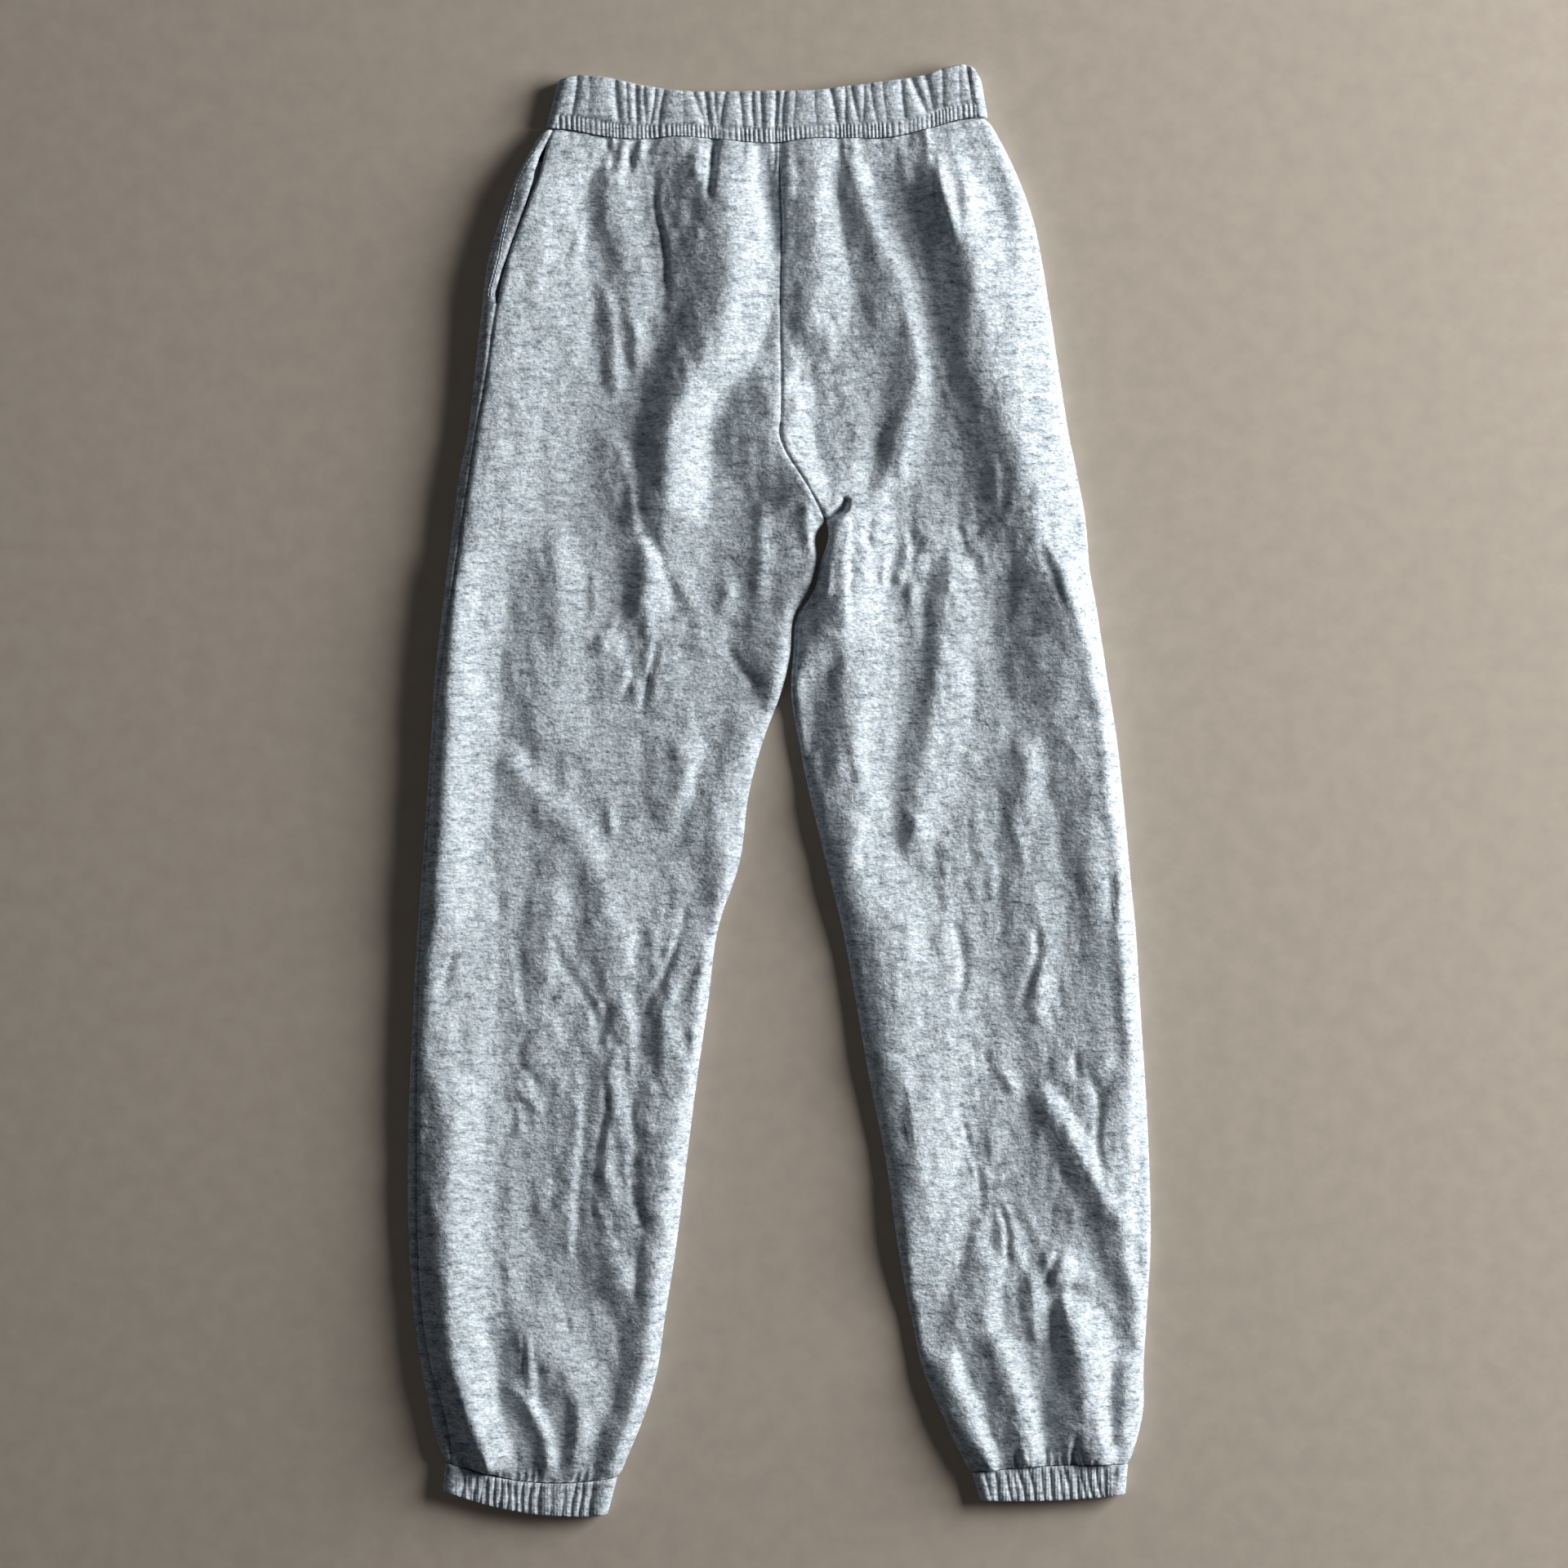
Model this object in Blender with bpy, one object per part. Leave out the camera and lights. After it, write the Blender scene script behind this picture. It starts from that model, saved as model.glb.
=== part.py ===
"""Jogger sweatpants lying flat with the back upwards: four leg panels, a gathered waistband,
two gathered ankle cuffs and the pocket bag that shows in the left side pocket.

Frame: metres, +Z up, +Y towards the waist, +X towards the viewer's right. The garment rests on
the plane Z = 0. Tables are in millimetres. "Left" and "right" are the viewer's, from above."""

import math

import bpy
import numpy as np

MM = 0.001

# ---------------------------------------------------------------- driving dimensions, in mm
FLEECE = 2.2            # wall of the brushed fleece panels
SEAM_GAP = 0.3          # between two pieces that a seam joins
BAND_GAP = 0.5          # between a panel and the gathered band sewn to it
LAYER_GAP = 1.6         # least air between the upper and the lower panel
MIN_THICK = 2 * FLEECE + LAYER_GAP
ROLL_WIDTH = 0.62       # width of a folded edge, as a share of the thickness there
ROLL_MIDDLE = 0.45      # height of a folded edge's outermost line, as a share of the thickness
WAIST_Y = 458.0         # the row where the panels meet the waistband
CUFF_Y = -478.0         # the row where the panels meet the cuffs
WAIST_BLEND = 80.0      # length over which the rows bend to follow the waistband
CUFF_BLEND = 60.0
CROTCH_Y = 190.0
CROTCH_X = 32.6
RIGHT_SEAM_UNDER = 15.0  # the right side seam lies this far round under the edge
POCKET_TOP_Y = 436.0
POCKET_FOOT_Y = 344.0
POCKET_GAPE = 2.2       # how far the pocket's slit stands open
POCKET_TAPER = 0.45     # share of the half slit over which it closes
BAG_CLOTH = 1.2         # wall of the pocket bag
BAG_GAP = 0.4           # between the bag and the panels' inner faces
BAG_BELOW = 24.0        # the bag reaches this far below the slit
BAG_ABOVE = 4.0         # and this far above it

# Outline of the garment at each height: the silhouette's left edge, the left side seam that lies
# on top just inside it, the silhouette's right edge, and the height of the upper face.
OUTLINE = [
    # y, left_edge, left_seam, right_edge, thick
    (476, -159.0, -153.0, 144.5, 11.0),
    (458, -170.0, -161.6, 155.0, 12.0),
    (430, -185.0, -169.0, 168.5, 12.0),
    (400, -196.7, -181.0, 179.0, 11.5),
    (370, -205.0, -191.3, 185.1, 11.0),
    (335, -209.3, -199.0, 190.7, 10.5),
    (290, -214.3, -205.7, 197.4, 10.5),
    (250, -219.0, -213.0, 203.8, 10.0),
    (220, -225.0, -217.5, 210.0, 10.0),
    (190, -228.8, -222.3, 215.5, 10.0),
    (160, -232.6, -226.4, 218.0, 10.0),
    (125, -236.8, -231.6, 224.0, 10.0),
    (95, -240.4, -236.0, 228.7, 10.0),
    (70, -242.6, -239.6, 232.3, 9.5),
    (40, -244.2, -242.0, 237.0, 9.0),
    (0, -247.0, -245.0, 241.5, 9.0),
    (-50, -250.4, -248.5, 246.2, 9.0),
    (-95, -253.8, -251.8, 250.6, 9.0),
    (-150, -256.9, -254.0, 254.0, 9.0),
    (-200, -259.4, -254.7, 257.2, 9.0),
    (-260, -261.0, -254.8, 260.2, 9.0),
    (-320, -260.2, -254.2, 261.2, 9.5),
    (-370, -256.6, -251.2, 258.4, 10.0),
    (-410, -250.6, -243.8, 256.2, 11.0),
    (-435, -245.4, -236.0, 256.0, 12.0),
    (-455, -241.0, -231.4, 251.8, 12.5),
    (-472, -235.0, -230.0, 246.6, 12.0),
    (-488, -231.0, -226.0, 244.0, 11.5),
]

# The centre seam, from the waistband down to the crotch.
CENTRE_SEAM = [
    # y, seam
    (476, -0.5), (430, 0.3), (400, 1.4), (335, 0.8), (290, 1.6), (262, 1.5), (250, 0.6),
    (240, 4.0), (220, 16.5), (205, 25.0), (190, 32.6),
]

# The legs' inner edges below the crotch, and how far each inseam lies round under its edge.
INNER_EDGES = [
    # y, left_inner, right_inner, inseam_l, inseam_r
    (190, 32.2, 33.0, 0, 0),
    (181, 26.4, 34.6, 2, 0),
    (160, 27.3, 28.9, 6, 0),
    (142, 22.2, 23.9, 9, -2),
    (125, 11.7, 13.7, 12, -4),
    (95, 7.9, 9.9, 13, -5),
    (70, 1.8, 8.7, 14, -5),
    (40, -9.5, 12.8, 14, -2),
    (0, -20.8, 21.0, 14, 6),
    (-50, -27.6, 33.0, 14, 13),
    (-95, -42.4, 44.0, 14, 14),
    (-150, -50.0, 54.3, 14, 14),
    (-200, -57.3, 63.0, 14, 14),
    (-260, -65.0, 75.1, 14, 14),
    (-320, -72.3, 83.5, 14, 14),
    (-370, -80.2, 92.8, 14, 14),
    (-410, -86.2, 102.3, 12, 12),
    (-435, -93.2, 113.0, 9, 9),
    (-455, -100.9, 122.0, 7, 7),
    (-472, -108.2, 130.6, 6, 6),
    (-488, -114.0, 136.5, 6, 6),
]

# The waistband across the garment, from its left edge (share 0) to its right edge (share 1):
# the height of its lower edge, where the panels hang on it, and of its upper edge.
WAISTBAND = [
    # share, lower_y, upper_y
    (0.00, 465.5, 499.5),
    (0.05, 464.5, 502.6),
    (0.12, 460.5, 500.6),
    (0.20, 458.0, 495.5),
    (0.30, 460.0, 491.6),
    (0.37, 458.5, 491.2),
    (0.52, 455.6, 491.9),
    (0.60, 458.6, 492.2),
    (0.68, 458.8, 495.0),
    (0.78, 459.4, 498.8),
    (0.86, 465.0, 502.4),
    (0.93, 471.4, 508.9),
    (0.96, 473.0, 509.9),
    (0.985, 473.4, 506.5),
    (1.00, 473.4, 499.5),
]
BAND_UNDER_SAG = 11.0               # sag of the band's lower edge on the hidden side
BAND_LOWER_X = (-164.0, 146.6)      # left and right end of the band's lower edge
BAND_UPPER_X = (-155.0, 142.0)      # and of its upper edge
# The band's section: how far up the band, thickness of the flattened band there, and the part
# of a gather's depth that it takes. The foot is the narrow strip under the stitching.
BAND_SECTION = [
    # share, thickness, gather
    (0.00, 11.6, 0.25),
    (0.20, 11.8, 0.30),
    (0.27, 13.4, 0.90),
    (0.60, 14.6, 1.00),
    (0.93, 13.4, 1.00),
]
# The band's rim and its inner face: how far up the band, thickness there, the part of a gather's
# depth that it takes, and whether the point lies on the inner face.
BAND_RIM = [
    # share, thickness, gather, inside
    (1.00, 11.4, 0.50, False),
    (0.98, 11.0, 0.00, True),
    (0.50, 12.0, 0.00, True),
    (0.00, 11.6, 0.00, True),
]
BAND_FOOT_THICK = 11.6
BAND_RIM_FLAT = 0.62                # the rim is this much flatter than the band below it
BAND_WALL = 5.0
BAND_END_INSET = 8.0                # the gathers stop this far from the band's two ends
BAND_GROOVE_DEPTH = 1.7
BAND_GROOVE_HALF = 2.3              # half width of a gather's groove
BAND_GROOVES_BELOW = 26             # even grooves on the hidden side
# The gathers' grooves across the upper side, uneven as the elastic pulls them.
BAND_GROOVES = [
    -146, -133, -113, -106, -99, -92, -83, -67, -57, -51, -45, -38, -27, -19, -11, -2,
    5, 12, 22, 32, 41, 50, 57, 66, 75, 86, 97, 105, 114, 127, 137,
]

# The two cuffs: their four corners, the sag of the upper and lower edge below a straight line
# between the corners, and how many gathers each side has.
CUFFS = {
    # node: upper left, upper right, lower left, lower right, upper sag, lower sag, gathers
    "cuff_left": ((-234.4, -471.5), (-113.6, -482.0), (-236.6, -491.5), (-120.6, -508.8), 9.0, 7.0, 17),
    "cuff_right": ((135.7, -479.0), (245.2, -473.4), (141.5, -498.5), (243.4, -494.5), -2.0, 2.0, 17),
}
CUFF_THICK = 13.0
CUFF_WALL = 4.6
CUFF_GROOVE_DEPTH = 1.3
CUFF_RIM_FLAT = 0.7                 # the rim is this much flatter than the cuff above it
CUFF_SECTION = [
    # share of the cuff's height, part of a gather's depth, inside
    (0.00, 0.3, False),
    (0.30, 1.0, False),
    (0.90, 1.0, False),
    (1.00, 0.3, False),
    (0.97, 0.0, True),
    (0.00, 0.0, True),
]

# Folds of the upper side, as soft ridges: height, and the crest from its upper end down, each
# point with how far the two sides slope out from it along X.
FOLDS = {
    "side_left": (3.8, [
        # x, y, left, right
        (-152, 468, 12, 26), (-175, 402, 12, 26), (-197, 310, 12, 26), (-210, 240, 12, 26),
        (-223, 150, 12, 24), (-233, 20, 12, 24), (-240, -80, 12, 38), (-247, -200, 12, 26)]),
    "seat_far_left": (5.0, [
        (-114, 478, 16, 18), (-118, 430, 15, 26), (-119, 410, 14, 28), (-108, 380, 18, 22),
        (-104, 350, 18, 20), (-101, 310, 14, 16), (-99, 280, 12, 14)]),
    "seat_left": (12.0, [
        (-42, 492, 46, 32), (-38, 430, 50, 32), (-36, 370, 50, 34), (-38, 345, 44, 34),
        (-48, 315, 36, 26), (-66, 290, 30, 25), (-77, 262, 25, 30), (-80, 232, 22, 30),
        (-86, 205, 18, 36), (-86, 180, 16, 34)]),
    "seat_left_low": (5.0, [
        (-128, 266, 14, 12), (-110, 237, 25, 14), (-103, 205, 24, 14), (-97, 172, 20, 16),
        (-93, 150, 20, 22), (-100, 122, 16, 26), (-106, 104, 14, 28)]),
    "seat_middle": (8.0, [
        (25, 490, 24, 15), (24, 440, 16, 17), (24, 390, 17, 20), (27, 350, 23, 27),
        (26, 306, 18, 34)]),
    "seam_turn": (8.0, [
        (4, 302, 35, 24), (-3, 262, 44, 32), (0, 243, 45, 35), (16, 220, 46, 22), (30, 192, 30, 14)]),
    "seat_right": (7.0, [
        (50, 490, 14, 14), (54, 440, 14, 20), (62, 400, 22, 30), (79, 355, 28, 20),
        (89, 320, 28, 15), (92, 290, 22, 14), (84, 256, 16, 20), (76, 228, 14, 18),
        (62, 204, 12, 14)]),
    "seat_far_right": (13.0, [
        (98, 492, 18, 14), (106, 440, 20, 14), (120, 400, 28, 20), (133, 365, 36, 32),
        (142, 320, 38, 38), (155, 266, 46, 38), (168, 222, 45, 36), (178, 182, 45, 34),
        (195, 152, 48, 24), (212, 114, 58, 16), (215, 50, 54, 14)]),
    "waist_right": (4.0, [
        (142, 472, 14, 14), (157, 443, 14, 14), (165, 404, 14, 14), (170, 360, 14, 14)]),
    "side_right": (3.6, [
        (217, 112, 14, 12), (228, 35, 14, 12), (238, -60, 14, 12), (243, -140, 14, 12),
        (253, -225, 14, 10)]),
    "thigh_right_outer": (4.5, [
        (213, 64, 25, 16), (213, 25, 25, 16), (220, -5, 28, 16), (219, -45, 20, 16),
        (220, -110, 19, 14), (222, -186, 14, 12)]),
    "thigh_right_side": (4.5, [
        (167, 46, 16, 18), (170, 0, 18, 18), (168, -30, 17, 30), (178, -60, 22, 22),
        (190, -92, 28, 15), (192, -140, 26, 14), (198, -182, 14, 14)]),
    "thigh_right_middle": (6.5, [
        (121, 174, 14, 16), (117, 130, 14, 25), (114, 90, 15, 25), (108, 40, 20, 25),
        (101, 0, 22, 25), (92, -48, 14, 16)]),
    "thigh_right_inner": (6.5, [
        (50, 202, 12, 12), (45, 150, 14, 18), (42, 110, 18, 26), (47, 75, 30, 28), (36, 32, 20, 16),
        (30, 0, 14, 14)]),
    "leg_right_inner": (5.0, [
        (60, 20, 14, 16), (66, -40, 14, 20), (76, -95, 20, 25), (84, -155, 22, 20),
        (90, -202, 18, 18), (96, -262, 14, 26), (93, -320, 14, 26), (99, -388, 12, 14)]),
    "knee_right_diagonal": (7.0, [
        (168, -204, 12, 12), (192, -235, 14, 14), (209, -266, 16, 15), (228, -295, 18, 14),
        (240, -325, 15, 13), (252, -362, 14, 12)]),
    "ankle_right_ridge": (5.5, [
        (147, -318, 16, 16), (146, -350, 26, 17), (147, -386, 32, 18), (150, -404, 20, 15)]),
    "ankle_right_a": (9.0, [
        (198, -345, 14, 16), (205, -374, 16, 14), (216, -402, 24, 14), (224, -436, 31, 14),
        (228, -490, 24, 14)]),
    "ankle_right_b": (6.5, [
        (152, -380, 14, 20), (162, -414, 21, 24), (174, -438, 21, 18), (187, -490, 15, 14)]),
    "ankle_right_c": (6.0, [
        (112, -382, 14, 14), (121, -407, 15, 15), (132, -435, 15, 17), (157, -490, 14, 14)]),
    "ankle_right_d": (3.8, [
        (241, -390, 12, 14), (243, -430, 12, 14), (238, -468, 12, 12)]),
    "thigh_left_middle": (3.2, [
        (-158, 196, 22, 18), (-158, 140, 35, 22), (-165, 90, 30, 30), (-166, 20, 18, 32)]),
    "thigh_left_diagonal": (6.0, [
        (-204, 40, 14, 14), (-182, 5, 14, 14), (-162, -18, 20, 26), (-146, -40, 30, 18),
        (-145, -76, 20, 14)]),
    "leg_left_inner": (3.8, [
        (-12, 66, 15, 12), (-36, 15, 15, 20), (-43, -20, 15, 18), (-40, -60, 14, 14),
        (-52, -96, 14, 14)]),
    "knee_left_a": (4.0, [(-158, -58, 22, 14), (-160, -100, 22, 16), (-163, -146, 14, 14)]),
    "knee_left_b": (3.8, [
        (-126, -40, 14, 24), (-124, -80, 16, 24), (-112, -130, 14, 16), (-103, -206, 14, 12)]),
    "knee_left_c": (4.0, [
        (-70, -124, 14, 12), (-82, -165, 15, 14), (-78, -222, 16, 14), (-86, -322, 14, 14)]),
    "shin_left": (6.0, [
        (-119, -170, 12, 12), (-115, -230, 23, 14), (-120, -300, 21, 18), (-113, -352, 19, 17),
        (-108, -390, 14, 16), (-98, -412, 15, 14), (-107, -440, 15, 13), (-118, -488, 14, 12)]),
    "shin_left_side": (4.0, [
        (-220, -200, 14, 16), (-221, -280, 15, 22), (-232, -352, 18, 30), (-237, -395, 15, 33),
        (-222, -454, 14, 18)]),
    "shin_left_middle": (2.6, [(-190, -246, 12, 16), (-191, -310, 12, 16), (-188, -362, 12, 14)]),
    "ankle_left_a": (3.6, [(-197, -400, 14, 14), (-176, -432, 14, 13), (-158, -488, 13, 12)]),
    "ankle_left_b": (3.2, [(-141, -402, 12, 20), (-142, -446, 12, 16), (-149, -486, 12, 12)]),
}
FOLD_FADE = 26.0        # length over which a fold rises from nothing at each end
CREST_STEP = 14.0       # spacing at which a crest's line is followed
LEAST_SLANT = 0.5       # a slanting crest's sides are narrowed to this share at most
STEEPEST = 0.48         # a fold rises no more than this share of its narrower side
HELD_SHARE = 0.3        # share of a fold's height that is left where the waistband holds it
HELD_REACH = 42.0       # length below the waistband over which the folds rise in full
AIR_OVER_MIN = 2.5      # the upper face stays this far above the least thickness
CENTRE_REACH = 9.0      # above the crotch a half's line is carried this far past the centre seam
RING_POINTS = 260       # points along the upper and along the lower side of a half's line
PROBE = 1.2             # distance at which the cloth's direction is taken

# Spacing of the mesh: rows down the leg, and distances from the inner line across a panel.
ROWS_ABOVE = list(np.linspace(WAIST_Y, 208.0, 13))
ROWS_CROTCH = [199.0, 194.5, 191.5, 190.0, 187.0, 182.0, 174.0]
ROWS_BELOW = list(np.linspace(160.0, CUFF_Y, 27))
ROWS = ROWS_ABOVE + ROWS_CROTCH + ROWS_BELOW
INNER_STEPS = [0.0, 5.5, 10.5, 15.5, 20.5, 26.0]
SIDE_STEPS = {"left": [10.0, 5.0, 0.0], "right": [25.0, 20.0, 15.0, 10.0, 5.0, 0.0]}
BACK_SPANS = 13         # even spans over the rest of a back panel
EDGE_STEPS = [0.0, 4.5, 9.0, 13.5, 19.0]    # round the left edge, which the left front wraps
FRONT_INNER_STEPS = [14.0, 9.5, 4.5, 0.0]
FRONT_SPANS = 4

# ---------------------------------------------------------------- small tools
def read_table(rows, names):
    """A table's columns by name, from its lowest row up."""
    rows = np.array(rows[::-1], float)
    return {name: (rows[:, 0], rows[:, k + 1]) for k, name in enumerate(names)}


COLUMNS = {
    **read_table(OUTLINE, ["left_edge", "left_seam", "right_edge", "thick"]),
    **read_table(CENTRE_SEAM, ["centre"]),
    **read_table(INNER_EDGES, ["left_inner", "right_inner", "inseam_l", "inseam_r"]),
}


def spline(knots, values, at):
    """A smooth curve through a table, with the slope at each knot from its neighbours."""
    slopes = np.gradient(values, knots)
    at = np.clip(np.asarray(at, float), knots[0], knots[-1])
    k = np.clip(np.searchsorted(knots, at) - 1, 0, len(knots) - 2)
    span = knots[k + 1] - knots[k]
    t = (at - knots[k]) / span
    low = (1 + 2 * t) * (1 - t) ** 2 * values[k] + t * (1 - t) ** 2 * span * slopes[k]
    high = t ** 2 * (3 - 2 * t) * values[k + 1] + t ** 2 * (t - 1) * span * slopes[k + 1]
    return low + high


def section(column, y):
    knots, values = COLUMNS[column]
    return spline(knots, values, y)


def path_length(line):
    steps = np.linalg.norm(np.diff(line, axis=0), axis=1)
    return np.concatenate([[0.0], np.cumsum(steps)])


def ease(t):
    t = np.clip(t, 0.0, 1.0)
    return t * t * (3 - 2 * t)


def band_edge(share, column):
    shares = np.array([row[0] for row in WAISTBAND])
    return spline(shares, np.array([row[column] for row in WAISTBAND]), share)


def band_foot(share, upper_side):
    """The band's lower edge: wavy on the upper side, an even curve underneath."""
    if upper_side:
        return band_edge(share, 1)
    left, right = WAISTBAND[0][1], WAISTBAND[-1][1]
    return left + (right - left) * share - BAND_UNDER_SAG * 4 * share * (1 - share)


def cuff_edge(cuff, share, upper):
    """A point on a cuff's upper or lower edge, from its left end (0) to its right end (1)."""
    upper_left, upper_right, lower_left, lower_right, upper_sag, lower_sag, _ = CUFFS[cuff]
    start, end, sag = ((upper_left, upper_right, upper_sag) if upper
                       else (lower_left, lower_right, lower_sag))
    share = np.asarray(share, float)
    x = start[0] + (end[0] - start[0]) * share
    y = start[1] + (end[1] - start[1]) * share - sag * 4 * share * (1 - share)
    return x, y


# ---------------------------------------------------------------- the upper face and its folds
def fold_crest(height, points):
    """A fold's crest drawn smoothly through its points, with the reach of its two sides and its
    height there."""
    points = np.array(points, float)
    along = path_length(points[:, :2])
    at = np.linspace(0.0, along[-1], max(3, round(along[-1] / CREST_STEP)))
    crest = np.stack([spline(along, points[:, k], at) for k in (0, 1)], 1)
    turn = np.gradient(crest, axis=0)
    slant = np.maximum(np.abs(turn[:, 1]) / np.hypot(turn[:, 0], turn[:, 1]), LEAST_SLANT)
    left, right = (np.interp(at, along, points[:, k]) * slant for k in (2, 3))
    rise = np.minimum(height, STEEPEST * np.minimum(left, right))
    return crest, left, right, rise


def fold_height(fold, x, y):
    """What one fold adds to the upper face: a soft ridge that fades at both ends."""
    crest, left, right, rise = fold_crest(*fold)
    steps = np.diff(crest, axis=0)
    lengths = np.hypot(steps[:, 0], steps[:, 1])
    starts = np.concatenate([[0.0], np.cumsum(lengths)])
    nearest = np.full(x.shape, 1e9)
    side = np.zeros(x.shape)
    along = np.zeros(x.shape)
    for k, (dx, dy) in enumerate(steps):
        from_x = x - crest[k, 0]
        from_y = y - crest[k, 1]
        t = np.clip((from_x * dx + from_y * dy) / lengths[k] ** 2, 0, 1)
        distance = np.hypot(from_x - t * dx, from_y - t * dy)
        closer = distance < nearest
        nearest = np.where(closer, distance, nearest)
        side = np.where(closer, dx * from_y - dy * from_x, side)
        along = np.where(closer, starts[k] + t * lengths[k], along)
    width = np.where(side > 0, np.interp(along, starts, right), np.interp(along, starts, left))
    ridge = 0.5 * (1 + np.cos(math.pi * np.minimum(nearest / width, 1)))
    fade = ease(along / FOLD_FADE) * ease((starts[-1] - along) / FOLD_FADE)
    return np.interp(along, starts, rise) * ridge * fade


def upper_height(x, y):
    """Height of the upper face over the floor, away from the folded edges."""
    x = np.asarray(x, float)
    y = np.asarray(y, float)
    folds = sum(fold_height(fold, x, y) for fold in FOLDS.values())
    held = HELD_SHARE + (1 - HELD_SHARE) * ease((WAIST_Y - y) / HELD_REACH)
    return np.maximum(section("thick", y) + held * folds, MIN_THICK + AIR_OVER_MIN)


# ---------------------------------------------------------------- rings round one half
def row_bend(half, row, share, upper_side):
    """How far a row leaves its straight line so that it follows the waistband or the cuff.
    share runs across the half, from its outer edge (0) to its inner line (1)."""
    waist = ease((row - (WAIST_Y - WAIST_BLEND)) / WAIST_BLEND)
    cuff = ease(((CUFF_Y + CUFF_BLEND) - row) / CUFF_BLEND)
    middle = (CENTRE_SEAM[0][1] - BAND_LOWER_X[0]) / (BAND_LOWER_X[1] - BAND_LOWER_X[0])
    across = share * middle if half == "left" else 1 - share * (1 - middle)
    lower = band_foot(across, upper_side) - BAND_GAP - WAIST_Y
    cuff_share = share if half == "left" else 1 - share
    upper = cuff_edge("cuff_" + half, cuff_share, True)[1] + BAND_GAP - CUFF_Y
    return waist * lower + cuff * upper


def half_ring(half, row):
    """The outer face of one half along one row, as a dense line: over the top from the inner
    line to the outer edge, then back underneath. Gives the points, their distance along the
    line, and where the inner line, the side seam and the line's end lie on it."""
    inner_y = row + float(row_bend(half, row, 1.0, True))
    outer_y = row + float(row_bend(half, row, 0.0, True))
    body = row > CROTCH_Y
    inner_x = float(section("centre" if body else half + "_inner", inner_y))
    outer_x = float(section(half + "_edge", outer_y))
    sign = 1.0 if half == "left" else -1.0
    reach = CENTRE_REACH if body else 0.0
    turn = 0.5 * (1 - np.cos(np.linspace(0, math.pi, RING_POINTS)))
    width = abs(inner_x - outer_x)
    span = turn * (width + reach)
    x = outer_x + sign * span
    share = span / width
    y = row + row_bend(half, row, np.clip(share, 0, 1), True)
    y_below = row + row_bend(half, row, np.clip(share, 0, 1), False)
    height = upper_height(x, y)
    roll = ROLL_WIDTH * height
    from_outer = np.clip(span / roll, 0, 1)
    if body:
        from_inner = np.clip(np.hypot(x - CROTCH_X, y - CROTCH_Y) / roll, 0, 1)
    else:
        from_inner = np.clip((width - span) / roll, 0, 1)
    bulge = np.sqrt(np.clip(1 - (1 - from_outer) ** 2, 0, 1))
    bulge = bulge * np.sqrt(np.clip(1 - (1 - from_inner) ** 2, 0, 1))
    middle = ROLL_MIDDLE * height
    top = np.stack([x, y, middle + (height - middle) * bulge], 1)[::-1]
    bottom = np.stack([x, y_below, middle * (1 - bulge)], 1)
    seam_x = float(section("left_seam", outer_y))
    if body:
        line = np.concatenate([top, bottom[1:]])
        along = path_length(line)
        edge = along[len(top) - 1]
        start = np.interp(inner_x * sign, line[:len(top), 0][::-1] * sign,
                          along[:len(top)][::-1])
        end = np.interp(inner_x * sign, line[len(top):, 0] * sign, along[len(top):])
    else:
        once = np.concatenate([top, bottom[1:-1]])
        line = np.concatenate([once, once, once, once[:1]])
        along = path_length(line)
        period = along[-1] / 3
        edge = period + np.interp(len(top) - 1, np.arange(len(line)), along)
        under = float(section("inseam_" + half[0], inner_y))
        start = period - under
        end = 2 * period - under
    if half == "left":
        side = edge - seam_distance(top[::-1], seam_x)
    else:
        side = edge + RIGHT_SEAM_UNDER
    return line, along, start, side, end


def seam_distance(from_edge, seam_x):
    """How far over the top the side seam lies from the outer edge, along the cloth."""
    along = path_length(from_edge)
    return float(np.interp(seam_x, from_edge[:, 0], along))


def pocket_share(row):
    """1 in the middle of the pocket's slit, 0 at its ends and beyond."""
    middle = 0.5 * (POCKET_TOP_Y + POCKET_FOOT_Y)
    half = 0.5 * (POCKET_TOP_Y - POCKET_FOOT_Y)
    return float(1 - ease((abs(row - middle) - (1 - POCKET_TAPER) * half) / (POCKET_TAPER * half)))


def panel_columns(half, side_of, row):
    """Distances along the half's ring of one panel's columns."""
    _, _, start, side, end = half_ring(half, row)
    if side_of == "back":
        first = start + SEAM_GAP / 2 + np.array(INNER_STEPS)
        last = side - SEAM_GAP / 2 - np.array(SIDE_STEPS[half])
        between = np.linspace(first[-1], last[0], BACK_SPANS + 1)[1:-1]
        return np.concatenate([first, between, last])
    gape = POCKET_GAPE * pocket_share(row) if half == "left" else 0.0
    first = side + SEAM_GAP / 2 + gape + np.array(EDGE_STEPS if half == "left" else [0.0])
    last = end - SEAM_GAP / 2 - np.array(FRONT_INNER_STEPS)
    between = np.linspace(first[-1], last[0], FRONT_SPANS + 1)[1:-1]
    return np.concatenate([first, between, last])


def ring_points(half, row, columns):
    line, along, _, _, _ = half_ring(half, row)
    return np.stack([np.interp(columns, along, line[:, k]) for k in range(3)], 1)


def panel_faces(half, side_of, rows):
    """The outer face of a panel as a grid of points, and the direction out of the cloth."""
    outer = []
    normals = []
    for row in rows:
        columns = panel_columns(half, side_of, row)
        above = min(row + PROBE, WAIST_Y)
        below = max(row - PROBE, CUFF_Y)
        up = ring_points(half, above, panel_columns(half, side_of, above))
        down = ring_points(half, below, panel_columns(half, side_of, below))
        ahead = ring_points(half, row, columns + PROBE)
        behind = ring_points(half, row, columns - PROBE)
        normal = np.cross(up - down, ahead - behind)
        if half == "right":
            normal = -normal
        normal /= np.linalg.norm(normal, axis=1)[:, None]
        outer.append(ring_points(half, row, columns))
        normals.append(normal)
    return np.array(outer), np.array(normals)


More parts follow.
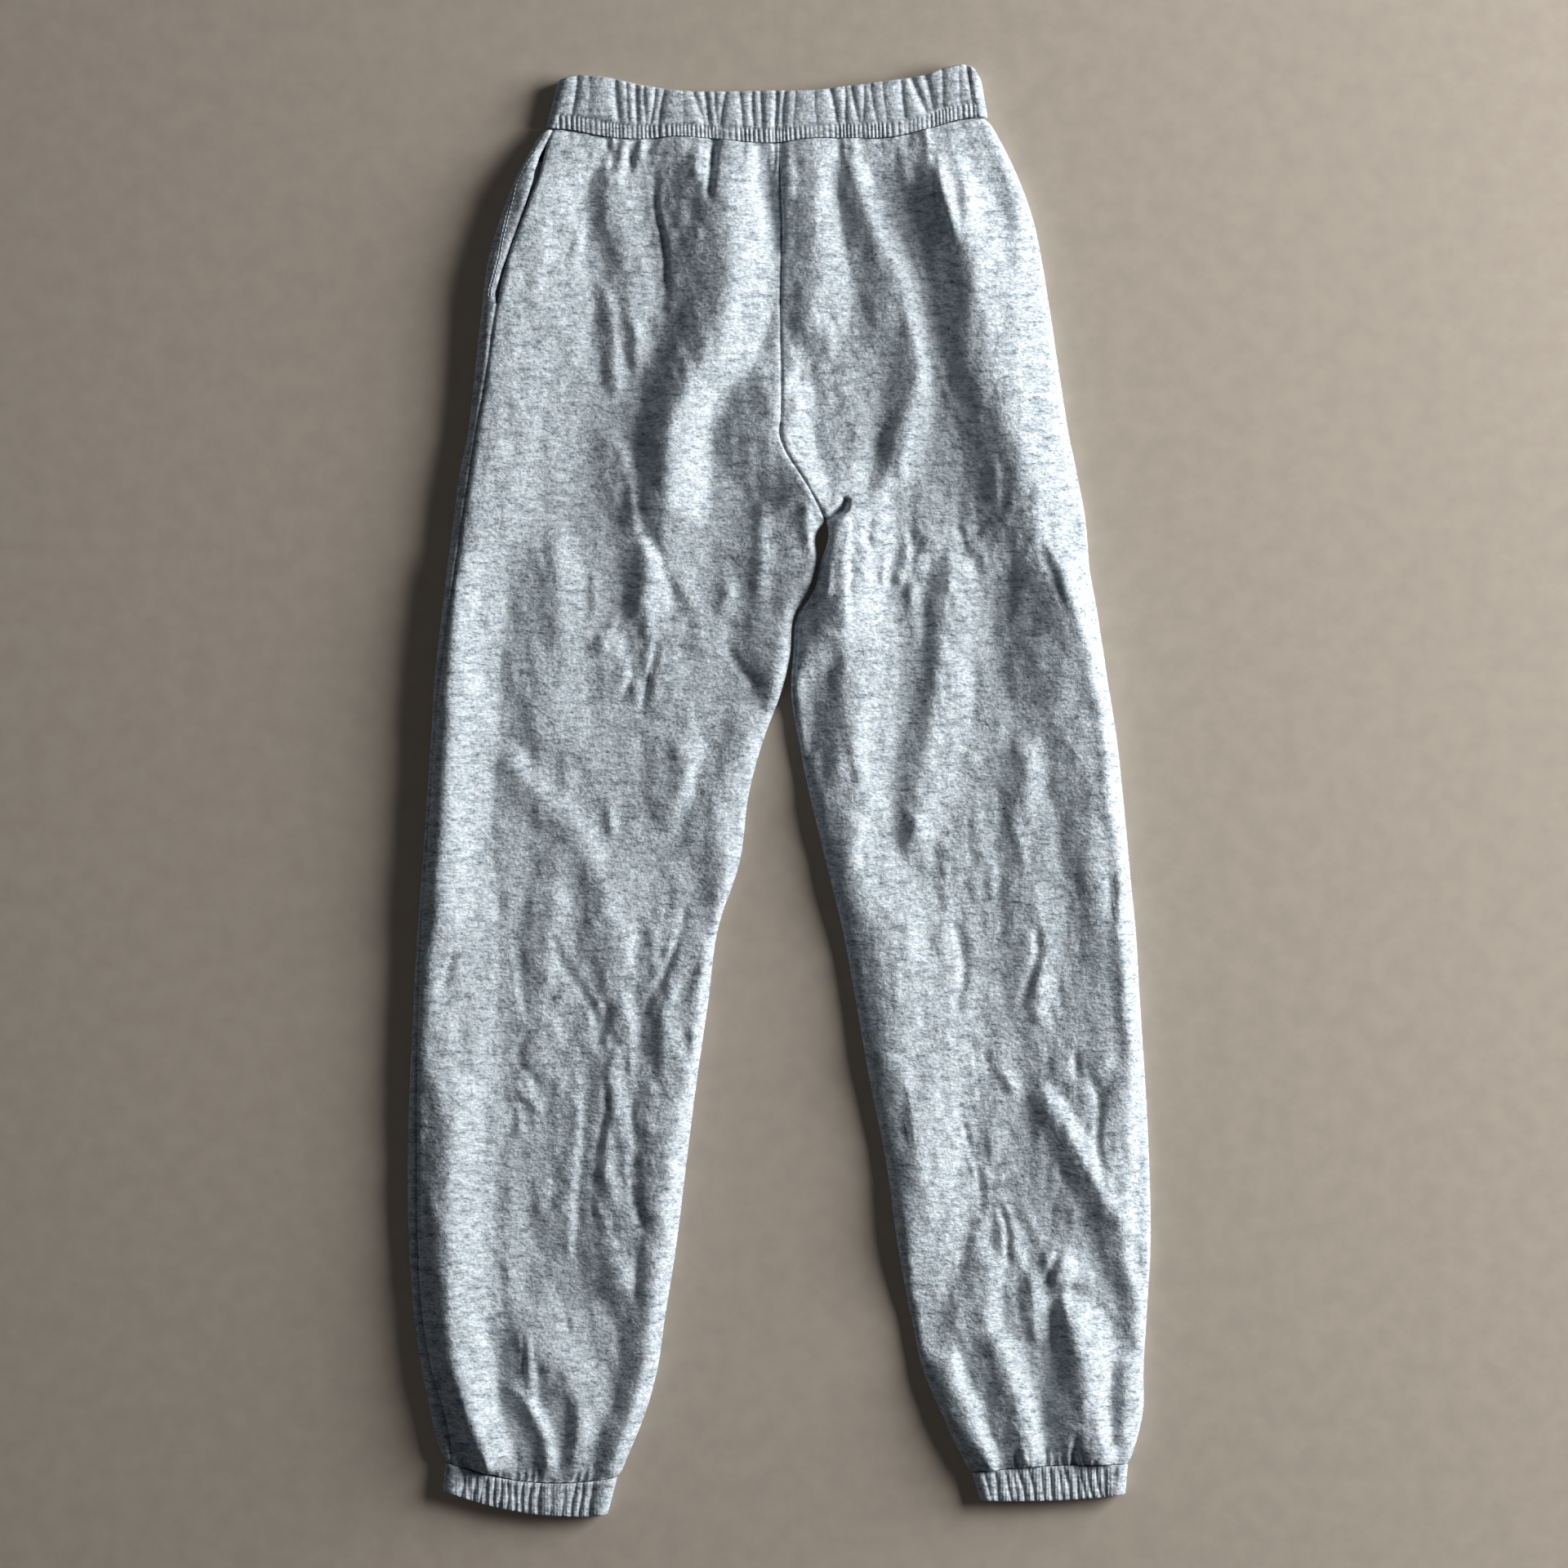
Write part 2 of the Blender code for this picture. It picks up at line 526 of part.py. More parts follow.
# ---------------------------------------------------------------- meshes
def fabric(name, colour, roughness):
    material = bpy.data.materials.new(name)
    material.use_nodes = True
    shader = material.node_tree.nodes["Principled BSDF"]
    shader.inputs["Base Color"].default_value = (*colour, 1.0)
    shader.inputs["Roughness"].default_value = roughness
    shader.inputs["Metallic"].default_value = 0.0
    material.diffuse_color = (*colour, 1.0)
    return material


def add_object(name, points, faces, colour, roughness=0.95):
    mesh = bpy.data.meshes.new(name)
    mesh.from_pydata((np.asarray(points) * MM).tolist(), [], faces)
    mesh.validate()
    mesh.materials.append(fabric(name + "_cloth", colour, roughness))
    mesh.shade_smooth()
    mesh.set_sharp_from_angle(angle=math.radians(CREASE_ANGLE))
    item = bpy.data.objects.new(name, mesh)
    bpy.context.scene.collection.objects.link(item)
    return item


def sheet_solid(name, outer, inner, colour):
    """A closed wall between two grids of points. The outer grid's cells turn clockwise as
    they are stored, seen from outside."""
    rows, columns = outer.shape[:2]
    count = rows * columns
    index = np.arange(count).reshape(rows, columns)
    faces = []
    for r in range(rows - 1):
        for c in range(columns - 1):
            a, b = int(index[r, c]), int(index[r, c + 1])
            d, e = int(index[r + 1, c]), int(index[r + 1, c + 1])
            faces.append((a, d, e, b))
            faces.append((a + count, b + count, e + count, d + count))
    rim = list(index[0, :]) + list(index[1:, -1]) + list(index[-1, -2::-1]) + list(index[-2:0:-1, 0])
    rim = [int(k) for k in rim]
    for k, here in enumerate(rim):
        there = rim[(k + 1) % len(rim)]
        # Both walls at a seam are split along the same diagonal, so they never cross.
        if here < there:
            faces += [(here, there, there + count), (here, there + count, here + count)]
        else:
            faces += [(here, there, here + count), (there, there + count, here + count)]
    points = np.concatenate([outer.reshape(-1, 3), inner.reshape(-1, 3)])
    if signed_volume(points, faces) < 0:
        faces = [face[::-1] for face in faces]
    return add_object(name, points, faces, colour)


def ring_solid(name, sections, colour):
    """A closed ring: sections[column] is one closed loop of points, the last column meets the
    first."""
    sections = np.array(sections)
    columns, loop = sections.shape[:2]
    faces = []
    for c in range(columns):
        following = (c + 1) % columns
        for k in range(loop):
            after = (k + 1) % loop
            faces.append((c * loop + k, following * loop + k,
                          following * loop + after, c * loop + after))
    points = sections.reshape(-1, 3)
    if signed_volume(points, faces) < 0:
        faces = [face[::-1] for face in faces]
    return add_object(name, points, faces, colour)


def signed_volume(points, faces):
    total = 0.0
    for face in faces:
        a = points[face[0]]
        for k in range(1, len(face) - 1):
            total += float(np.dot(a, np.cross(points[face[k]], points[face[k + 1]])))
    return total / 6


# ---------------------------------------------------------------- the pieces
CREASE_ANGLE = 50.0     # edges sharper than this are shown sharp, in degrees
GREY = (0.42, 0.47, 0.51)
BAG_GREY = (0.30, 0.34, 0.37)
SHADE = {"back_left": 1.0, "back_right": 0.95, "front_left": 0.8, "front_right": 0.75,
         "waistband": 0.9, "cuff_left": 0.85, "cuff_right": 0.85}


def shade(name):
    return tuple(SHADE[name] * c for c in GREY)


def leg_panel(half, side_of):
    name = side_of + "_" + half
    outer, normals = panel_faces(half, side_of, ROWS)
    inner = outer - FLEECE * normals
    sheet_solid(name, outer, inner, shade(name))


def pocket_bag():
    """The bag's facing under the slit, carried just inside the two panels' walls."""
    rows = [row for row in ROWS if POCKET_FOOT_Y - BAG_BELOW < row < POCKET_TOP_Y + BAG_ABOVE]
    back, back_out = panel_faces("left", "back", rows)
    front, front_out = panel_faces("left", "front", rows)
    points = np.concatenate([back[:, -3:], front[:, :3]], 1)
    out = np.concatenate([back_out[:, -3:], front_out[:, :3]], 1)
    depth = FLEECE + BAG_GAP
    outer = points - depth * out
    inner = points - (depth + BAG_CLOTH) * out
    sheet_solid("pocket_bag_left", outer, inner, BAG_GREY)


def flat_ring(columns_above, columns_below, corner_angles):
    """Columns round a flattened ring as (share across, angle or None, side): over the top from
    right to left, round the left edge, underneath, and round the right edge."""
    ring = [(share, None, "top") for share in sorted(columns_above, reverse=True)]
    ring += [(0.0, angle, "left") for angle in corner_angles]
    ring += [(share, None, "bottom") for share in sorted(columns_below)]
    ring += [(1.0, angle, "right") for angle in corner_angles[::-1]]
    return ring


def ring_point(place, left, right, thick, wall, inside, groove):
    """One point of a flattened ring. left and right are the ring's two ends (x, y) at this
    height, thick the ring's full thickness, and inside picks the inner face."""
    share, angle, side = place
    half = thick / 2
    roll = ROLL_WIDTH * thick
    depth = wall if inside else groove
    (x0, y0), (x1, y1) = left, right
    flat0 = x0 + roll
    flat1 = x1 - roll
    if side == "top":
        return flat0 + (flat1 - flat0) * share, thick - depth
    if side == "bottom":
        return flat0 + (flat1 - flat0) * share, depth
    inset = wall if inside else 0.0
    reach = (roll - inset) * math.cos(angle)
    x = flat0 - reach if side == "left" else flat1 + reach
    return x, half + (half - inset) * math.sin(angle)


CORNER_ANGLES = [math.radians(a) for a in (66, 33, 0, -33, -66)]


def groove_columns(grooves, left, right, half_width):
    """Shares for the columns of uneven grooves: each groove's middle, and its shoulders or the
    point half way to a close neighbour."""
    marks = []
    for k, middle in enumerate(grooves):
        marks.append((middle, 1.0))
        if k == 0:
            marks.append((middle - half_width, 0.0))
        if k == len(grooves) - 1:
            marks.append((middle + half_width, 0.0))
            continue
        gap = grooves[k + 1] - middle
        if gap < 4 * half_width:
            marks.append((middle + gap / 2, 0.0))
        else:
            marks.append((middle + half_width, 0.0))
            marks.append((grooves[k + 1] - half_width, 0.0))
    return {(x - left) / (right - left): depth for x, depth in marks}


def waistband():
    left, right = BAND_LOWER_X[0] + BAND_END_INSET, BAND_LOWER_X[1] - BAND_END_INSET
    above = groove_columns(BAND_GROOVES, left, right, BAND_GROOVE_HALF)
    below = {k / (2 * BAND_GROOVES_BELOW): float(k % 2) for k in range(2 * BAND_GROOVES_BELOW + 1)}
    levels = [(t, thick, part, False) for t, thick, part in BAND_SECTION] + BAND_RIM
    middle = BAND_FOOT_THICK / 2
    sections = []
    for place in flat_ring(above, below, CORNER_ANGLES):
        share, _, side = place
        depths = above if side == "top" else below
        deep = depths.get(share, 0.0) if side in ("top", "bottom") else 0.0
        loop = []
        for t, thick, part, inside in levels:
            x0 = BAND_LOWER_X[0] + (BAND_UPPER_X[0] - BAND_LOWER_X[0]) * t
            x1 = BAND_LOWER_X[1] + (BAND_UPPER_X[1] - BAND_LOWER_X[1]) * t
            groove = BAND_GROOVE_DEPTH * deep * part + max(0.0, (BAND_FOOT_THICK - thick) / 2)
            full = max(thick, BAND_FOOT_THICK)
            x, z = ring_point(place, (x0, 0), (x1, 0), full, BAND_WALL, inside, groove)
            across = float(np.clip((x - x0) / (x1 - x0), 0, 1))
            foot = band_foot(across, side != "bottom")
            y = foot + (band_edge(across, 2) - foot) * t
            if t == 1.0:
                z = BAND_RIM_FLAT * (z - middle) + middle
            loop.append((x, y, z))
        sections.append(loop)
    ring_solid("waistband", sections, shade("waistband"))


def cuff(name):
    gathers = CUFFS[name][6]
    shares = {k / (2 * gathers): float(k % 2) for k in range(2 * gathers + 1)}
    upper_x = [float(cuff_edge(name, end, True)[0]) for end in (0.0, 1.0)]
    lower_x = [float(cuff_edge(name, end, False)[0]) for end in (0.0, 1.0)]
    sections = []
    for place in flat_ring(shares, shares, CORNER_ANGLES):
        share, _, side = place
        deep = shares.get(share, 0.0) if side in ("top", "bottom") else 0.0
        loop = []
        for t, part, inside in CUFF_SECTION:
            x0 = upper_x[0] + (lower_x[0] - upper_x[0]) * t
            x1 = upper_x[1] + (lower_x[1] - upper_x[1]) * t
            groove = CUFF_GROOVE_DEPTH * deep * part
            x, z = ring_point(place, (x0, 0), (x1, 0), CUFF_THICK, CUFF_WALL, inside, groove)
            across = float(np.clip((x - x0) / (x1 - x0), 0, 1))
            y_upper = float(cuff_edge(name, across, True)[1])
            y_lower = float(cuff_edge(name, across, False)[1])
            if t == 1.0:
                z = CUFF_RIM_FLAT * (z - CUFF_THICK / 2) + CUFF_THICK / 2
            loop.append((x, y_upper + (y_lower - y_upper) * t, z))
        sections.append(loop)
    ring_solid(name, sections, shade(name))


def main():
    for item in list(bpy.data.objects):
        bpy.data.objects.remove(item, do_unlink=True)
    for half in ("left", "right"):
        leg_panel(half, "back")
        leg_panel(half, "front")
    pocket_bag()
    waistband()
    for name in CUFFS:
        cuff(name)


main()
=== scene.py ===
"""Looks of jogger sweatpants that lie flat with the back upwards: brushed grey melange fleece,
a gathered waistband and gathered ankle cuffs.

Frame: metres, +Z up, +Y towards the waist. Tables are in millimetres. "Left" and "right" are the
viewer's, from above. "Back" panels lie on top, "front" panels lie on the floor."""

import math

import bpy
import numpy as np
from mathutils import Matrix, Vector


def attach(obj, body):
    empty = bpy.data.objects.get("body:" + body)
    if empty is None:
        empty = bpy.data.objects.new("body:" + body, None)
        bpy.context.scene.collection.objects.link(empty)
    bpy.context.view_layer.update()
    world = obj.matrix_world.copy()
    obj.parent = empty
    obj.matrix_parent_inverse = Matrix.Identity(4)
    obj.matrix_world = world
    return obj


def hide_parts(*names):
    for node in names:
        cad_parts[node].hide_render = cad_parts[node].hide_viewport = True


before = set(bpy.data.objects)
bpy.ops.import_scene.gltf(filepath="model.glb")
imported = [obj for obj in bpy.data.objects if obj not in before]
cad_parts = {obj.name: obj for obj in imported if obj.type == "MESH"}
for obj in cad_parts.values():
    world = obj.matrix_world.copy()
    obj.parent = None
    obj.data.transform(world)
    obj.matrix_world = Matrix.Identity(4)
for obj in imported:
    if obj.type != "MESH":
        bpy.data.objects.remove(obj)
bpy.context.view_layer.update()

MM = 0.001

# ---------------------------------------------------------------- sizes, in mm
FLEECE = 2.0            # wall of the fleece
SEAM_GAP = 0.3          # between two pieces that a seam joins
BAND_GAP = 0.5          # between a panel and the gathered band sewn to it
MIN_HEIGHT = 7.0        # least height of the upper face over the floor
MAX_HEIGHT = 33.0       # and the most
ROLL_WIDTH = 0.62       # width of a folded edge, as a share of the height there
ROLL_MIDDLE = 0.45      # height of a folded edge's outermost line, as a share of the height
WAIST_Y = 458.0         # the row where the panels meet the waistband
CUFF_Y = -478.0         # the row where the panels meet the cuffs
WAIST_BLEND = 80.0      # length over which the rows bend to follow the waistband
CUFF_BLEND = 60.0
CROTCH_Y = 190.0
CROTCH_X = 32.6
RIGHT_SEAM_UNDER = 15.0  # the right side seam lies this far round under the edge
POCKET_TOP_Y = 436.0
POCKET_FOOT_Y = 344.0
# How far the pocket's slit stands open: y, gap.
POCKET_GAPE = [(341, 0.0), (345, 2.2), (350, 3.0), (360, 1.8), (375, 0.9), (392, 0.8), (405, 1.2),
               (418, 2.6), (430, 3.8), (440, 2.6), (449, 0.4), (452, 0.0)]
POCKET_ROLL = 0.42      # how narrow the folded edge is beside the pocket, as a share of the usual
POCKET_ROLL_FADE = 60.0
CROTCH_ROLL = 0.4       # and the inner edges at the crotch
CROTCH_ROLL_FADE = 80.0
BAG_CLOTH = 1.2         # wall of the pocket bag

# Outline of the garment at each height: the silhouette's left edge, the left side seam that lies
# on top just inside it, the silhouette's right edge, and the height of the upper face.
OUTLINE = [
    # y, left_edge, left_seam, right_edge, thick
    (476, -159.0, -153.0, 144.5, 11.0),
    (458, -170.0, -161.6, 155.0, 12.0),
    (430, -185.0, -169.0, 168.5, 12.0),
    (400, -196.7, -181.0, 179.0, 11.5),
    (370, -205.0, -191.3, 185.1, 11.0),
    (335, -209.3, -199.0, 190.7, 10.5),
    (290, -214.3, -205.7, 197.4, 10.5),
    (250, -219.0, -213.0, 203.8, 10.0),
    (220, -225.0, -217.5, 210.0, 10.0),
    (190, -228.8, -222.3, 215.5, 10.0),
    (160, -232.6, -226.4, 218.0, 10.0),
    (125, -236.8, -231.6, 224.0, 10.0),
    (95, -240.4, -236.0, 228.7, 10.0),
    (70, -242.6, -239.6, 232.3, 9.5),
    (40, -244.2, -242.0, 237.0, 9.0),
    (0, -247.0, -245.0, 241.5, 9.0),
    (-50, -250.4, -248.5, 246.2, 9.0),
    (-95, -253.8, -251.8, 250.6, 9.0),
    (-150, -256.9, -254.0, 254.0, 9.0),
    (-200, -259.4, -254.7, 257.2, 9.0),
    (-260, -261.0, -254.8, 260.2, 9.0),
    (-320, -260.2, -254.2, 261.2, 9.5),
    (-370, -256.6, -251.2, 258.4, 10.0),
    (-410, -250.6, -243.8, 256.2, 11.0),
    (-435, -245.4, -236.0, 256.0, 12.0),
    (-455, -241.0, -231.4, 251.8, 12.5),
    (-472, -235.0, -230.0, 246.6, 12.0),
    (-488, -231.0, -226.0, 244.0, 11.5),
]

# The centre seam, from the waistband down to the crotch.
CENTRE_SEAM = [
    # y, seam
    (476, -0.5), (430, 0.3), (400, 1.4), (335, 0.8), (290, 1.6), (262, 1.5), (250, 0.6),
    (240, 4.0), (220, 16.5), (205, 25.0), (190, 32.6),
]

# The legs' inner edges below the crotch, and how far each inseam lies round under its edge.
INNER_EDGES = [
    # y, left_inner, right_inner, inseam_l, inseam_r
    (190, 32.2, 33.0, 0, 0),
    (181, 26.4, 34.6, 2, 0),
    (160, 27.3, 28.9, 6, 0),
    (142, 22.2, 23.9, 9, -2),
    (125, 11.7, 13.7, 12, -4),
    (95, 7.9, 9.9, 13, -5),
    (70, 1.8, 8.7, 14, -5),
    (40, -9.5, 12.8, 14, -2),
    (0, -20.8, 21.0, 14, 6),
    (-50, -27.6, 33.0, 14, 13),
    (-95, -42.4, 44.0, 14, 14),
    (-150, -50.0, 54.3, 14, 14),
    (-200, -57.3, 63.0, 14, 14),
    (-260, -65.0, 75.1, 14, 14),
    (-320, -72.3, 83.5, 14, 14),
    (-370, -80.2, 92.8, 14, 14),
    (-410, -86.2, 102.3, 12, 12),
    (-435, -93.2, 113.0, 9, 9),
    (-455, -100.9, 122.0, 7, 7),
    (-472, -108.2, 130.6, 6, 6),
    (-488, -114.0, 136.5, 6, 6),
]

# The waistband across the garment, from its left edge (share 0) to its right edge (share 1):
# the height of its lower edge, where the panels hang on it, and of its upper edge.
WAISTBAND = [
    # share, lower_y, upper_y
    (0.00, 465.5, 499.5),
    (0.05, 464.5, 502.6),
    (0.12, 460.5, 500.6),
    (0.20, 458.0, 495.5),
    (0.30, 460.0, 491.6),
    (0.37, 458.5, 491.2),
    (0.52, 455.6, 491.9),
    (0.60, 458.6, 492.2),
    (0.68, 458.8, 495.0),
    (0.78, 459.4, 498.8),
    (0.86, 465.0, 502.4),
    (0.93, 471.4, 508.9),
    (0.96, 473.0, 509.9),
    (0.985, 473.4, 506.5),
    (1.00, 473.4, 499.5),
]
BAND_UNDER_SAG = 11.0               # sag of the band's lower edge on the hidden side
BAND_LOWER_X = (-164.0, 146.6)      # left and right end of the band's lower edge
BAND_UPPER_X = (-155.0, 142.0)      # and of its upper edge
BAND_WALL = 4.6
# The casing's gathers on the upper side: where each groove starts at the upper edge and ends at
# the foot, its depth and its half width.
BAND_GATHERS = [
    # top_x, foot_x, depth, half
    (-154.5, -154.0, 0.8, 2.4), (-141.5, -146.5, 1.3, 2.4), (-133.5, -134.0, 0.5, 3.2),
    (-114.5, -112.5, 1.9, 2.8), (-108.0, -104.0, 0.8, 2.0), (-100.0, -100.5, 1.9, 2.4),
    (-94.5, -93.5, 1.0, 2.2), (-87.2, -90.5, 1.3, 2.4), (-80.8, -85.8, 1.3, 2.6),
    (-68.0, -66.0, 0.4, 3.0), (-60.0, -50.5, 1.2, 2.6), (-53.0, -46.8, 1.9, 2.4),
    (-45.0, -43.0, 0.8, 2.2), (-37.8, -42.0, 1.0, 2.4), (-27.3, -25.6, 1.0, 2.6),
    (-18.7, -17.6, 1.4, 2.4), (-12.4, -13.0, 1.3, 2.4), (-2.4, -2.4, 2.6, 1.5),
    (3.6, 1.9, 1.5, 2.8), (11.0, 10.0, 0.5, 2.4), (25.3, 26.5, 0.5, 2.4), (35.6, 42.4, 1.6, 2.6),
    (45.7, 47.5, 1.3, 2.4), (51.0, 57.0, 1.3, 2.4), (59.0, 60.0, 0.9, 2.8), (63.6, 71.0, 0.8, 2.6),
    (73.0, 76.0, 0.5, 2.0), (84.8, 90.6, 1.3, 3.0), (93.4, 106.7, 2.4, 2.4), (102.0, 111.0, 1.9, 3.2),
    (113.6, 116.4, 0.9, 2.8), (127.0, 126.0, 0.4, 2.0), (132.0, 137.7, 1.2, 2.2),
]
BAND_STRIP = 0.24       # share of the band's height under its stitching
BAND_RIPPLE = 3.1       # mean spacing of the strip's ripples
GATHERS_DEEPER = 1.75   # the casing's gathers as they stand, against the depths above
DEEPEST_GATHER = 3.9
BAND_HIDDEN_GATHERS = 34

CUFFS = {
    # node: upper left, upper right, lower left, lower right, upper sag, lower sag
    "cuff_left": ((-234.4, -471.5), (-113.6, -482.0), (-236.6, -491.5), (-120.6, -508.8), 9.0, 7.0),
    "cuff_right": ((135.7, -479.0), (245.2, -473.4), (141.5, -498.5), (243.4, -494.5), -2.0, 2.0),
}
CUFF_THICK = 13.0
CUFF_WALL = 4.2
# The cuffs' gathers on the upper side, as BAND_GATHERS.
CUFF_GATHERS = {
    "cuff_left": [
        # top_x, foot_x, depth, half
        (-221, -223, 2.2, 2.0), (-217, -218, 1.0, 1.4), (-213, -214, 2.0, 2.0), (-208, -210, 1.1, 1.5),
        (-204, -207, 1.9, 1.6), (-200, -200, 1.8, 1.5), (-195, -196, 1.5, 1.5), (-190, -191, 1.3, 1.3),
        (-185, -186, 1.4, 1.3), (-180, -181, 1.7, 1.5), (-174, -176, 1.8, 1.6), (-168, -169, 1.9, 1.8),
        (-159, -161, 0.8, 2.0), (-151, -152, 0.8, 1.8), (-143, -146, 1.7, 1.7), (-138, -140, 1.8, 1.5),
        (-131, -133, 2.4, 2.2),
    ],
    "cuff_right": [
        (144, 148, 1.8, 1.8), (151, 155, 1.9, 1.9), (158, 164, 1.2, 1.6), (163, 168, 0.9, 1.5),
        (168, 173, 1.8, 1.6), (175, 180, 1.3, 1.6), (183, 187, 1.2, 1.6), (189, 193, 1.8, 1.6),
        (195, 200, 1.3, 1.5), (200, 205, 1.9, 1.6), (207, 211, 2.0, 1.7), (211, 215, 1.3, 1.3),
        (216, 220, 1.6, 1.5), (222, 226, 1.6, 1.5), (227, 230, 1.3, 1.5), (236, 239, 0.8, 1.8),
    ],
}
CUFF_HIDDEN_GATHERS = 19

# Creases of the upper side as soft ridges, or troughs where the height is below zero, region by
# region: height, fade at both ends, and [(x, y, left, right), ...]. Every line runs down; left and
# right are how far its two sides slope out, along X, and a point without them has those before it.
CREASES = {}
CREASES["side_seam_left"] = [
    (3.5, 24, [(-226, 180, 18, 24), (-231, 120), (-233, 60, 18, 26), (-236, 0, 18, 28), (-238, -60),
        (-240, -110, 16, 24)]),
    (3.5, 24, [(-228, -190, 18, 22), (-229, -240), (-229, -300), (-230, -350, 18, 24),
        (-228, -390, 18, 26), (-222, -420, 16, 26), (-212, -445, 14, 24), (-200, -466, 12, 18)]),
    (9.0, 20, [(-156, 478, 40, 34), (-161, 450), (-169, 425), (-178, 400, 40, 50), (-187, 375, 40, 60),
        (-193, 350, 40, 66), (-197, 325, 36, 64), (-202, 300, 30, 70), (-208, 270, 26, 80),
        (-214, 240, 24, 78), (-220, 200, 24, 70), (-226, 150, 26, 38), (-231, 90, 26, 34),
        (-234, 20, 28, 34), (-237, -30, 30, 36), (-240, -80, 32, 44), (-243, -130, 36, 46),
        (-244, -180, 36, 50), (-243, -220), (-240, -260, 36, 46), (-238, -300, 32, 44),
        (-235, -340, 26, 42), (-232, -380, 22, 38), (-228, -412, 20, 30), (-220, -440, 20, 26),
        (-208, -462), (-196, -484, 14, 20)]),
    (-1.8, 14, [(-228, -110, 5, 5), (-232, -128, 5, 6), (-238, -146, 4, 6)]),
]
CREASES["seat_left"] = [
    (3.4, 22, [(-114, 478, 12, 20), (-114, 455, 12, 22), (-120, 430, 14, 26), (-118, 410, 14, 24),
        (-108, 380, 16, 20), (-104, 360, 18, 18), (-103, 340, 16, 16), (-102, 325, 14, 12),
        (-100, 305, 10, 12), (-99, 285, 7, 10)]),
    (2.0, 18, [(-126, 360, 8, 4), (-121, 347, 12, 5), (-118, 333, 12, 6), (-117, 318, 13, 8),
        (-117, 283, 10, 9), (-116, 270, 6, 8)]),
    (6.0, 24, [(-128, 262, 8, 6), (-117, 248, 20, 8), (-109, 235, 25, 7), (-106, 222, 27, 6),
        (-103, 205, 24, 6), (-99, 180, 18, 5), (-94, 166, 20, 12), (-92, 152, 20, 20), (-96, 138, 15, 24),
        (-100, 125, 12, 26), (-106, 108, 8, 28)]),
    (12.0, 26, [(-42, 492, 46, 32), (-38, 450, 50, 30), (-38, 400, 50, 34), (-36, 370), (-38, 345, 46, 34),
        (-46, 322, 42, 36), (-54, 306, 40, 34), (-65, 290, 34, 33), (-72, 270, 28, 36), (-78, 255, 25, 35),
        (-78, 240, 26, 32), (-78, 225, 28, 30), (-80, 208, 30, 32), (-83, 190, 30, 34),
        (-84, 176, 26, 36)]),
    (2.4, 20, [(-85, 195, 7, 34), (-79, 168, 5, 30), (-74, 155, 4, 24), (-68, 142, 4, 18),
        (-58, 130, 4, 10), (-50, 120, 4, 8)]),
    (2.6, 12, [(-55, 470, 8, 5), (-57, 445), (-58, 422)]),
    (-4.0, 12, [(-47, 474, 4, 4), (-46, 452), (-48, 430), (-50, 412)]),
    (-1.6, 8, [(-106, 460, 3, 3), (-105, 448), (-102, 436)]),
    (-1.7, 20, [(-88, 436, 3, 4), (-85, 402), (-81, 376), (-78, 340)]),
    (-2.0, 6, [(-121, 462, 3, 4), (-120, 446)]),
    (1.8, 8, [(-125, 462, 4, 4), (-127, 448)]),
    (-2.2, 14, [(-12, 462, 9, 12), (-13, 438), (-10, 418), (-4, 370)]),
    (2.0, 10, [(4, 458, 6, 5), (8, 445), (8, 430), (5, 412)]),
]
